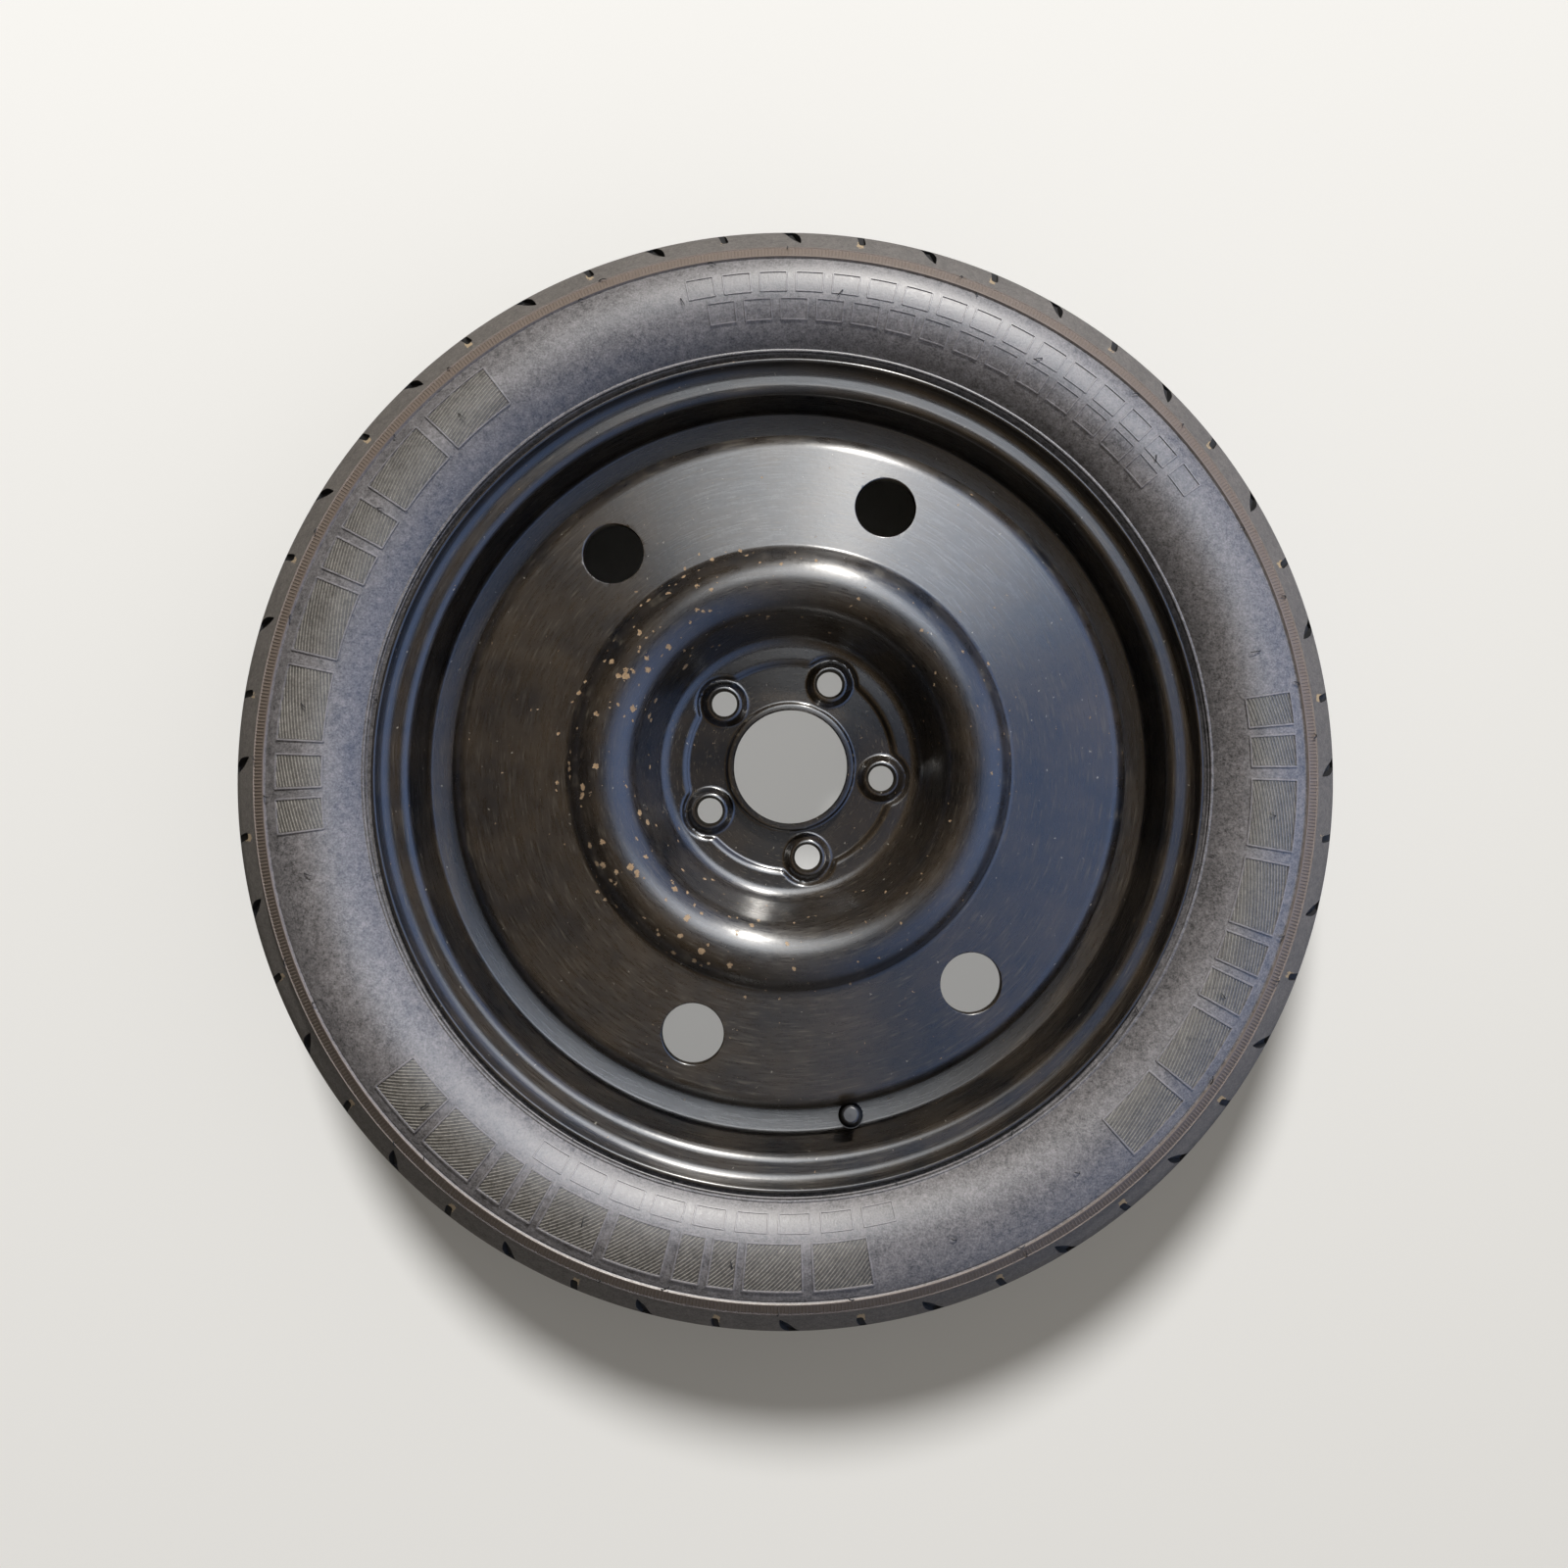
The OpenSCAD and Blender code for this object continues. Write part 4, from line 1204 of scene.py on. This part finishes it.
    def build(self) -> None:
        """Build and dress all pieces of the tyre."""
        rubber = self.rubber.build()
        dusty, rubbed, ridge = (
            CuredRubber(name, dark, pale).build() for name, dark, pale in (
                ("dusty_hatched_rubber", "#363533", "#6b6966"),
                ("rubbed_hatching_rubber", "#676561", "#a8a5a0"),
                ("rubbed_ridge_rubber", "#626166", "#97959a")))
        hair = PlainFinish("black_hair_rubber", "#151516", "#242425", 0.6).build()
        # Near-black finish inside the notches: painted shade, over rubber that is also less worn
        # there
        painted_notch_shade = PlainFinish("painted_shade_notch_rubber", "#0c0c0d", "#1b1a19", 0.7).build()
        blocks, frames = self.build_blocks(dusty, rubbed)
        mount(blocks, Body.WHEEL, "tyre_rubber")
        carcass = self.build_carcass(rubber, painted_notch_shade)
        mount(carcass, Body.WHEEL, "tyre_rubber", "tyre")
        for piece, finish in (
                (self.build_serrations(), rubber), (frames, ridge), (self.build_hairs(), hair)):
            dress(piece, finish)
            mount(piece, Body.WHEEL, "tyre_rubber")


# Rim

@dataclass
class Rim:
    """The rolled rim: flanges, bead seats, ledges and well, with the valve's hole."""

    seat_r: float = 231.0
    seat_taper: float = 5.0
    bead_face: float = 57.15
    sheet: float = 2.6
    flange_h: float = 17.5
    flange_bend: float = 9.5
    foot_bend: float = 3.5
    lip: float = 1.4
    well_r: float = 207.6
    well_bend: float = 5.0
    ledge_h: float = 24.5
    ledge_slope: float = 13.5
    ledge_bend: float = 4.0
    valve_r: float = 217.8
    valve_angle: float = 280.0
    valve_hole: float = 5.75
    steps: int = 288

    def ledge_r(self) -> float:
        """The radius of the ledge's outer edge."""
        return self.seat_r - self.sheet - (
            self.bead_face - self.ledge_h) * tan_d(self.seat_taper)

    def bends(self) -> list[Bend]:
        """The bends of half of the rim, from the well to the flange."""
        slope = self.ledge_slope
        ledge_r = self.ledge_r()
        well_turn = 90.0 + slope
        start_r = self.well_r + self.well_bend * (1.0 + cos_d(well_turn))
        start_h = self.ledge_h - (ledge_r - start_r) * tan_d(slope)
        corner = self.ledge_bend * tan_d((90.0 - slope - self.seat_taper) / 2.0)
        curl = (self.seat_r + self.flange_h - self.flange_bend, self.bead_face + self.flange_bend)
        return [
            Bend((self.well_r + self.well_bend, start_h - self.well_bend * sin_d(well_turn)),
                 self.well_bend, 180.0, well_turn, 1),
            Bend((ledge_r - corner * cos_d(slope) - self.ledge_bend * sin_d(slope),
                  self.ledge_h - corner * sin_d(slope) + self.ledge_bend * cos_d(slope)),
                 self.ledge_bend, 270.0 + slope, 360.0 - self.seat_taper, -1),
            Bend((self.seat_r + self.foot_bend, self.bead_face - self.foot_bend),
                 self.foot_bend + self.sheet, 180.0 - self.seat_taper, 90.0, 1),
            Bend(curl, self.flange_bend - self.sheet, 270.0, 360.0, -1),
        ]

    def outline(self) -> Outline:
        """The whole section of the rim's sheet."""
        bends = self.bends()
        curl = bends[-1].centre
        end_h = curl[1] + self.lip
        near = sheet_face(bends, 0.0, 5.0) + [(curl[0] + self.flange_bend - self.sheet, end_h)]
        far = sheet_face(bends, self.sheet, 8.0) + [(curl[0] + self.flange_bend, end_h)]
        middle = (curl[0] + self.flange_bend - self.sheet / 2.0, end_h)
        end = Bend(middle, self.sheet / 2.0, 165.0, 15.0).points(0.0, 25.0)
        half = near + end + list(reversed(far))
        return half + [(r, -z) for r, z in reversed(half)]

    def valve_place(self) -> Matrix:
        """The valve's frame: its origin on the ledge's outer face and its axis along +Z."""
        height = self.ledge_h - (self.ledge_r() - self.valve_r) * tan_d(self.ledge_slope)
        return (turned(self.valve_angle) @ moved(self.valve_r, 0.0, height)
                @ turned(-self.ledge_slope, "Y"))

    def build(self, paint: Material) -> None:
        """Build and dress the rim.

        Args:
            paint: the wheel's paint.
        """
        shell = lathe("rim_shell", self.outline(), self.steps)
        drill = turned_plug("valve_hole_drill", [
            (0.0, -8.0), (self.valve_hole, -8.0), (self.valve_hole, 0.02),
            (self.valve_hole + 2.3, 0.02), (self.valve_hole + 2.3, 8.0), (0.0, 8.0)], 40)
        drill.data.transform(self.valve_place())
        cut_away(shell, drill)
        smooth(shell, 35.0)
        apply_modifier(shell, "WEIGHTED_NORMAL", {"keep_sharp": True})
        dress(shell, paint)
        mount(shell, Body.WHEEL, "black_paint", "rim")


# Disc

@dataclass
class Disc:
    """The pressed disc: collar, bosses, bowl, crown, vented ring and skirt."""

    face_h: float = 21.0
    sheet: float = 3.8
    hub_r: float = 35.25
    collar_h: float = 11.8
    collar_bend: float = 2.5
    band_r: float = 62.5
    band_h: float = 2.2
    band_slope: float = 40.0
    band_low: float = 3.0
    band_high: float = 5.5
    bowl_slope: float = 70.0
    bowl_bend: float = 9.0
    crown_r: float = 113.0
    crown_h: float = 52.0
    crown_bend: float = 22.0
    crown_slope: float = 60.0
    crown_drop: float = 14.0
    foot_bend: float = 5.0
    ring_slope: float = 8.0
    skirt_bend: float = 13.0
    skirt_r: float = 207.6
    skirt_end: float = 22.0
    vent_r: float = 18.5
    vent_at: float = 169.5
    vent_angle: float = 70.0
    vent_pitch: float = 60.0
    vent_places: tuple[int, ...] = (0, 1, 3, 4)
    bolt_at: float = 57.15
    bolt_angle: float = 64.7
    bolts: int = 5
    bolt_r: float = 7.9
    seat_r: float = 9.3
    seat_cone: float = 60.0
    # Width and height of the seat's broken edge
    seat_edge: Pair = (0.5, 0.3)
    boss_h: float = 4.6
    boss_top: float = 10.2
    boss_foot: float = 15.0
    pocket_r: float = 16.5
    # Where the pocket's edge starts and ends beside that radius
    pocket_edge: Pair = (-1.0, 1.6)
    relief: float = 1.6
    # Outer radius of what the bosses' die shapes, and height over the disc where a cutter ends
    pressed_r: float = 82.0
    cutter_out: float = 8.0
    vent_edge: float = 1.1
    steps: int = 360

    def bends(self) -> list[Bend]:
        """The disc's bends from the hub outwards, over its mounting face."""
        band_s, bowl_s = self.band_slope, self.bowl_slope
        crown_s, ring_s = self.crown_slope, self.ring_slope
        both = self.band_low + self.band_high
        top = self.sheet + self.band_h
        run = both * sin_d(band_s) + (self.band_h - both * (1 - cos_d(band_s))) / tan_d(band_s)
        crown = (self.crown_r, self.crown_h - self.crown_bend)
        wall_top = (crown[0] - self.crown_bend * sin_d(bowl_s),
                    crown[1] + self.crown_bend * cos_d(bowl_s))
        foot_rise = self.bowl_bend * (1 - cos_d(bowl_s))
        bowl_r = wall_top[0] - (wall_top[1] - top - foot_rise) / tan_d(bowl_s) \
            - self.bowl_bend * sin_d(bowl_s)
        side = (crown[0] + self.crown_bend * sin_d(crown_s),
                crown[1] + self.crown_bend * cos_d(crown_s))
        start_h = self.crown_h - self.crown_drop + self.foot_bend * (
            cos_d(ring_s) - cos_d(crown_s))
        foot_r = side[0] + (side[1] - start_h) / tan_d(crown_s) \
            + self.foot_bend * sin_d(crown_s)
        foot = (foot_r, start_h + self.foot_bend * cos_d(crown_s))
        ring = (foot[0] - self.foot_bend * sin_d(ring_s),
                foot[1] - self.foot_bend * cos_d(ring_s))
        skirt_r = self.skirt_r - self.skirt_bend * (1 - sin_d(ring_s))
        skirt_h = ring[1] - (skirt_r - ring[0]) * tan_d(ring_s)
        collar_r = self.hub_r + self.sheet + self.collar_bend
        return [
            Bend((collar_r, self.sheet + self.collar_bend), self.collar_bend, 180.0, 270.0, -1),
            Bend((self.band_r, self.sheet + self.band_low), self.band_low,
                 270.0, 270.0 + band_s, -1),
            Bend((self.band_r + run, top - self.band_high), self.band_high,
                 90.0 + band_s, 90.0, 1),
            Bend((bowl_r, top + self.bowl_bend), self.bowl_bend,
                 270.0, 270.0 + bowl_s, -1),
            Bend(crown, self.crown_bend, 90.0 + bowl_s, 90.0 - crown_s, 1),
            Bend(foot, self.foot_bend, 270.0 - crown_s, 270.0 - ring_s, -1),
            Bend((self.skirt_r - self.skirt_bend,
                  skirt_h - self.skirt_bend * cos_d(ring_s)),
                 self.skirt_bend, 90.0 - ring_s, 0.0, 1),
        ]

    def face_lines(self) -> tuple[Outline, Outline]:
        """The outboard and inboard faces in section, over the mounting face."""
        bends = self.bends()
        collar = self.hub_r + self.sheet
        near = [(collar - 1.0, self.collar_h), (collar - 0.3, self.collar_h - 0.3),
                (collar, self.collar_h - 1.0)]
        near += sheet_face(bends, 0.0, 4.0) + [(self.skirt_r, -self.skirt_end)]
        far = [(self.hub_r + 0.6, self.collar_h), (self.hub_r, self.collar_h - 0.6)]
        far += sheet_face(bends, self.sheet, 9.0) + [
            (self.skirt_r - self.sheet, -self.skirt_end)]
        near = densify(near, 1.2, (collar + 2.0, self.pressed_r))
        near = densify(near, 9.0, (self.pressed_r, self.skirt_r - 1.0))
        far = densify(far, 2.2, (collar, self.pressed_r))
        return near, far

    def bolt_centres(self) -> list[Vector]:
        """The middles of the bolt holes, in metres."""
        return [polar(self.bolt_at, self.bolt_angle + 360.0 * i / self.bolts)
                for i in range(self.bolts)]

    def press_bosses(self, shell: Piece) -> None:
        """Press the bosses and their pockets into the floor, as the die does.

        Args:
            shell: the spun sheet in its place.
        """
        centres = self.bolt_centres()
        floor = self.face_h + self.sheet
        for vertex in shell.data.vertices:
            flat = Vector((vertex.co.x, vertex.co.y, 0.0))
            if not (self.hub_r + self.sheet + 0.5) * MM <= flat.length <= self.pressed_r * MM:
                continue
            away = min((flat - centre).length for centre in centres) / MM
            if away > self.pocket_r + 3.0:
                continue
            height = vertex.co.z / MM
            level = 1.0 - smooth_step(*(self.pocket_r + more for more in self.pocket_edge), away)
            upper = height > floor - 0.5 * self.sheet + self.band_h * smooth_step(
                self.band_r, self.band_r + 6.0, flat.length / MM)
            if upper:
                height += (floor - height) * level
                height += self.boss_h * (1.0 - smooth_step(self.boss_top, self.boss_foot, away))
            else:
                height += (self.face_h - height) * level
                height += self.relief * (1.0 - smooth_step(self.seat_r, self.seat_r + 1.0, away))
            vertex.co.z = height * MM

    def bolt_drill(self) -> Piece:
        """Model the drill for a bolt hole with the nut's cone and its broken edge."""
        top = self.face_h + self.sheet + self.boss_h
        depth = (self.seat_r - self.bolt_r) / tan_d(self.seat_cone / 2.0)
        edge_r, rise = self.seat_r + self.seat_edge[0], self.seat_edge[1]
        return turned_plug("bolt_hole_drill", [
            (0.0, self.face_h - 3.0), (self.bolt_r, self.face_h - 3.0),
            (self.bolt_r, top - depth), (self.seat_r, top), (edge_r, top + rise),
            (edge_r, top + 3.0), (0.0, top + 3.0)], 48)

    def vent_punch(self) -> Piece:
        """Model the punch for a vent, flared a little where the edges are broken."""
        edge, out = self.vent_edge, self.cutter_out
        flare = Bend((self.vent_r + edge, -edge), edge, 180.0, 90.0).points(0.0, 22.5)
        low = self.sheet + out
        return turned_plug("vent_punch", [
            (0.0, -low), (self.vent_r, -low)] + flare + [
            (self.vent_r + edge, out), (0.0, out)], 72)

    def cut_openings(self, shell: Piece) -> None:
        """Drill the bolt holes and punch the vents."""
        drill = self.bolt_drill()
        cutters = [placed_copy(drill, Matrix.Translation(centre))
                   for centre in self.bolt_centres()]
        bpy.data.objects.remove(drill)
        punch = self.vent_punch()
        low = self.bends()[5].points()[-1]
        height = self.face_h + low[1] - (self.vent_at - low[0]) * tan_d(self.ring_slope)
        cutters += [
            placed_copy(punch, turned(self.vent_angle + self.vent_pitch * place)
                        @ moved(self.vent_at, 0.0, height) @ turned(self.ring_slope, "Y"))
            for place in self.vent_places]
        bpy.data.objects.remove(punch)
        cut_away(shell, join(cutters, "disc_cutters"))

    def build(self, paint: Material) -> Piece:
        """Build and dress the disc.

        Args:
            paint: the wheel's paint.

        Returns:
            The disc.
        """
        near, far = self.face_lines()
        outline = [(r, z + self.face_h) for r, z in near + list(reversed(far))]
        shell = lathe("pressed_disc", outline, self.steps)
        self.press_bosses(shell)
        self.cut_openings(shell)
        smooth(shell, 38.0)
        apply_modifier(shell, "WEIGHTED_NORMAL", {"keep_sharp": True})
        dress(shell, paint)
        mount(shell, Body.WHEEL, "black_paint", "disc")
        return shell


# Valve

@dataclass
class Valve:
    """The snap-in valve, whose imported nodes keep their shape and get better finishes."""

    finishes: Mapping[str, PlainFinish] = field(default_factory=lambda: {
        "valve_body": PlainFinish("moulded_valve_rubber", "#17181a", "#232427", 0.5),
        "valve_stem": PlainFinish("turned_brass", "#b08d4f", "#8a6c3a", 0.32, 1.0),
        "core_body": PlainFinish("turned_core_brass", "#b8975a", "#94753f", 0.3, 1.0),
        "core_seal": PlainFinish("red_seal_rubber", "#8e2a22", "#6f1e18", 0.55),
        "core_pin": PlainFinish("drawn_brass_wire", "#bb9c62", "#9a7d48", 0.28, 1.0),
        "core_cup": PlainFinish("stamped_core_brass", "#b39157", "#8f7140", 0.35, 1.0),
        "core_seat": PlainFinish("black_seat_rubber", "#141415", "#1f1f21", 0.6),
        "core_spring": PlainFinish("spring_steel", "#8d8f92", "#6c6e72", 0.3, 1.0),
        "cap_washer": PlainFinish("washer_rubber", "#121213", "#1c1c1e", 0.6),
        "valve_cap": PlainFinish("moulded_cap_plastic", "#1b1c1f", "#2c2d31", 0.32),
    })
    # Length of the core's spring, and how far the pressed pin shortens it
    spring_length: float = 5.7
    pin_travel: float = 1.2

    def build_spring(self, node: Piece, finish: Material) -> None:
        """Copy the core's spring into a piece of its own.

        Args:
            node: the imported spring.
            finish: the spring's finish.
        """
        spring = add_to_scene(bpy.data.objects.new("return_spring", node.data.copy()))
        with edit_mode(spring):
            bpy.ops.mesh.remove_doubles(threshold=0.5 * WELD_MM * MM)
        dress(spring, finish)
        mount(spring, Body.WHEEL, "spring_steel", "core_spring")
        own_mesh(spring)

    def build(self, nodes: Mapping[str, Piece], axis: Vector) -> None:
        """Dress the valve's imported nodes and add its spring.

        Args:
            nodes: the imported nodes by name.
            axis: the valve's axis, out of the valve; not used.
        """
        for name, finish in self.finishes.items():
            dress(nodes[name], finish.build())
            log.info("%s: %s", name, finish.name)
        self.build_spring(
            nodes["core_spring"], nodes["core_spring"].data.materials[0])


# Studio

@dataclass(frozen=True)
class Studio:
    """Pale floor, soft lamps and the camera of the photograph's view."""

    # The camera stands on the wheel's axis, and leans as the photograph does
    camera_h: float = 931.9
    camera_turn: Triple = (4.18, -1.445, 0.08)
    # Focal length and principal point in the photograph's pixels
    focal_px: float = 1472.4
    centre_px: Pair = (843.9, 674.8)
    image_px: float = 1600.0
    sensor: float = 36.0
    # The sun stands towards the picture's top, as in the photograph, and lights the wheel alone
    sun_azimuth: float = 77.0
    sun_elevation: float = 39.0
    sun_angle: float = 3.0
    sun_strength: float = 3.3
    sun_colour: str = "#fffaf2"
    sun_distance: float = 3000.0
    # Two higher and softer lamps give the floor its light and the wheel's shadow
    floor_azimuth: float = 97.0
    floor_elevation: float = 50.5
    floor_distance: float = 6000.0
    floor_lamp: float = 1200.0
    floor_power: float = 184.0
    floor_colour: str = "#e8e7e4"
    floor_bounce: str = "#6b675f"
    floor_reach: float = 8000.0
    # Ways to the open side, to the window that gloss shows and to the middle of the glow
    open_side: Triple = (0.78, -0.62, 0.0)
    window: Triple = (0.85, 0.0, 0.53)
    glow: Triple = (0.128, 0.514, 0.848)
    backdrop: str = "#f1f1ef"

    def build_camera(self) -> None:
        """Place the camera with the photograph's lens, lean and framing."""
        data = bpy.data.cameras.new("camera")
        data.sensor_width = self.sensor
        data.lens = self.focal_px * self.sensor / self.image_px
        data.shift_x = (self.image_px / 2.0 - self.centre_px[0]) / self.image_px
        data.shift_y = (self.centre_px[1] - self.image_px / 2.0) / self.image_px
        camera = bpy.data.objects.new("camera", data)
        camera.location = (0.0, 0.0, self.camera_h * MM)
        camera.rotation_euler = [math.radians(a) for a in self.camera_turn]
        bpy.context.scene.camera = add_to_scene(camera)

    def add_lamp(
        self, name: str, kind: str, azimuth: float, elevation: float, distance: float,
        settings: Mapping[str, object],
    ) -> Piece:
        """Add a lamp that faces the wheel.

        Args:
            name: the lamp's name.
            kind: SUN or AREA.
            azimuth: its direction round the wheel, in degrees from +X.
            elevation: its height over the horizon, in degrees.
            distance: its distance from the wheel.
            settings: the lamp's settings by name.

        Returns:
            The lamp.
        """
        data = bpy.data.lights.new(name, kind)
        for key, value in settings.items():
            setattr(data, key, value)
        lamp = bpy.data.objects.new(name, data)
        lamp.location = polar(cos_d(elevation) * distance, azimuth, sin_d(elevation) * distance)
        lamp.rotation_euler = (-lamp.location).to_track_quat("-Z", "Y").to_euler()
        return add_to_scene(lamp)

    def link_light(self, lamp: Piece, use: str, piece: Piece, state: str) -> None:
        """Let a lamp light only one piece, or let it pass one piece by.

        Args:
            lamp: the lamp.
            use: receiver_collection for what is lit, blocker_collection for what casts shadows.
            piece: the piece that is included or left out.
            state: INCLUDE or EXCLUDE.
        """
        group = bpy.data.collections.new(lamp.name + "_" + use)
        group.objects.link(piece)
        group.collection_objects[0].light_linking.link_state = state
        setattr(lamp.light_linking, use, group)

    def build_world(self) -> None:
        """Light the wheel from all round, brightest high over the sun and open at the right."""
        world = bpy.data.worlds.new("studio")
        bpy.context.scene.world = world
        world.use_nodes = True
        world.node_tree.nodes.clear()
        tree = ShaderTree(world.node_tree)
        way = tree.add("TexCoord").outputs["Generated"]
        x, _, z = tree.add("SeparateXYZ", {}, {0: way}).outputs
        open_side, window, high = (
            tree.vector("DOT_PRODUCT", way, axis)
            for axis in (self.open_side, self.window, self.glow))
        tint = tree.ramp(x, (-1.0, 1.0), (
            (0.36, (1.35, 0.92, 0.5)), (0.5, (1.0, 0.99, 1.02)), (0.64, (0.66, 0.94, 1.65))))
        soft = tree.ramp(open_side, (-1.0, 1.0), (
            (0.1, (0.06, 0.054, 0.044)), (0.5, (0.25, 0.23, 0.195)), (0.9, (0.44, 0.44, 0.45))))
        sharp = tree.ramp(window, (-1.0, 1.0), (
            (0.2, 0.01), (0.38, 0.03), (0.5, 0.16), (0.66, 0.34), (0.75, 0.48), (0.87, 0.7),
            (1.0, 1.3)))
        # Dark overhead, which flat paint shows
        overhead = tree.ramp(z, (0.9, 1.0), ((0.7, 1.0), (0.88, 0.3), (1.0, 0.3)))
        glow = tree.ramp(high, (0.85, 1.0), (
            (0.0, 0.0), (0.3, (0.06, 0.07, 0.08)), (0.6, (2.2, 2.4, 2.6)),
            (0.72, (4.0, 4.2, 4.4)), (1.0, (7.0, 7.1, 7.2))))
        tinted = tree.vector("MULTIPLY_ADD", tree.vector("MULTIPLY", sharp, overhead), tint, glow)
        rays = tree.add("LightPath").outputs
        sky = tree.mix(rays["Is Glossy Ray"], soft, tinted)
        seen = tree.mix(rays["Is Camera Ray"], sky, self.backdrop)
        background = tree.add("Background", {}, {0: seen, 1: 1.0})
        tree.add("OutputWorld", {}, {0: background.outputs[0]})

    def build_floor(self, height: float) -> Piece:
        """Lay the floor under the wheel.

        Args:
            height: the floor's height in metres.

        Returns:
            The floor.
        """
        bpy.ops.object.select_all(action="DESELECT")
        bpy.ops.mesh.primitive_plane_add(size=self.floor_reach * MM, location=(0, 0, height))
        floor = bpy.context.object
        floor.name = "floor"
        bpy.ops.object.transform_apply(location=True, rotation=True, scale=True)
        material, tree = new_material("painted_floor")
        seen = tree.mix(tree.add("LightPath").outputs["Is Camera Ray"],
                        self.floor_bounce, self.floor_colour)
        tree.shade({"Base Color": seen, "Roughness": 0.9, "Specular IOR Level": 0.0})
        dress(floor, material)
        return floor

    def build(self, floor_height: float, disc: Piece) -> None:
        """Build the whole studio.

        Args:
            floor_height: the floor's height in metres.
            disc: the wheel's disc, through which half of the floor's light passes, so that
                the floor under the bore and the lower vents shows as grey.
        """
        bpy.context.scene.view_settings.view_transform = "Standard"
        self.build_camera()
        self.build_world()
        floor = self.build_floor(floor_height)
        sun = self.add_lamp(
            "sun", "SUN", self.sun_azimuth, self.sun_elevation, self.sun_distance, {
                "energy": self.sun_strength, "angle": math.radians(self.sun_angle),
                "color": to_linear(self.sun_colour)[:3]})
        self.link_light(sun, "receiver_collection", floor, "EXCLUDE")
        for name in ("floor_lamp", "floor_lamp_past_disc"):
            lamp = self.add_lamp(
                name, "AREA", self.floor_azimuth, self.floor_elevation, self.floor_distance,
                {"shape": "DISK", "size": self.floor_lamp * MM, "energy": self.floor_power})
            self.link_light(lamp, "receiver_collection", floor, "INCLUDE")
        self.link_light(lamp, "blocker_collection", disc, "EXCLUDE")


def main() -> None:
    """Build every sub-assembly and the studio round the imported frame."""
    logging.basicConfig(level=logging.INFO, format="%(name)s: %(message)s")
    random.seed(SEED)
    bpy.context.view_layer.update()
    bpy.ops.object.select_all(action="DESELECT")
    low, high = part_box("tyre")
    paint = DippedPaint().build()
    Tyre(outer_r=high.x / MM, half_width=high.z / MM).build()
    rim = Rim()
    rim.build(paint)
    disc = Disc().build(paint)
    dress(frame["nodes"]["disc_welds"], paint)
    Valve().build(frame["nodes"], rim.valve_place().col[2].xyz)
    Studio().build(low.z, disc)


if __name__ == "__main__":
    main()
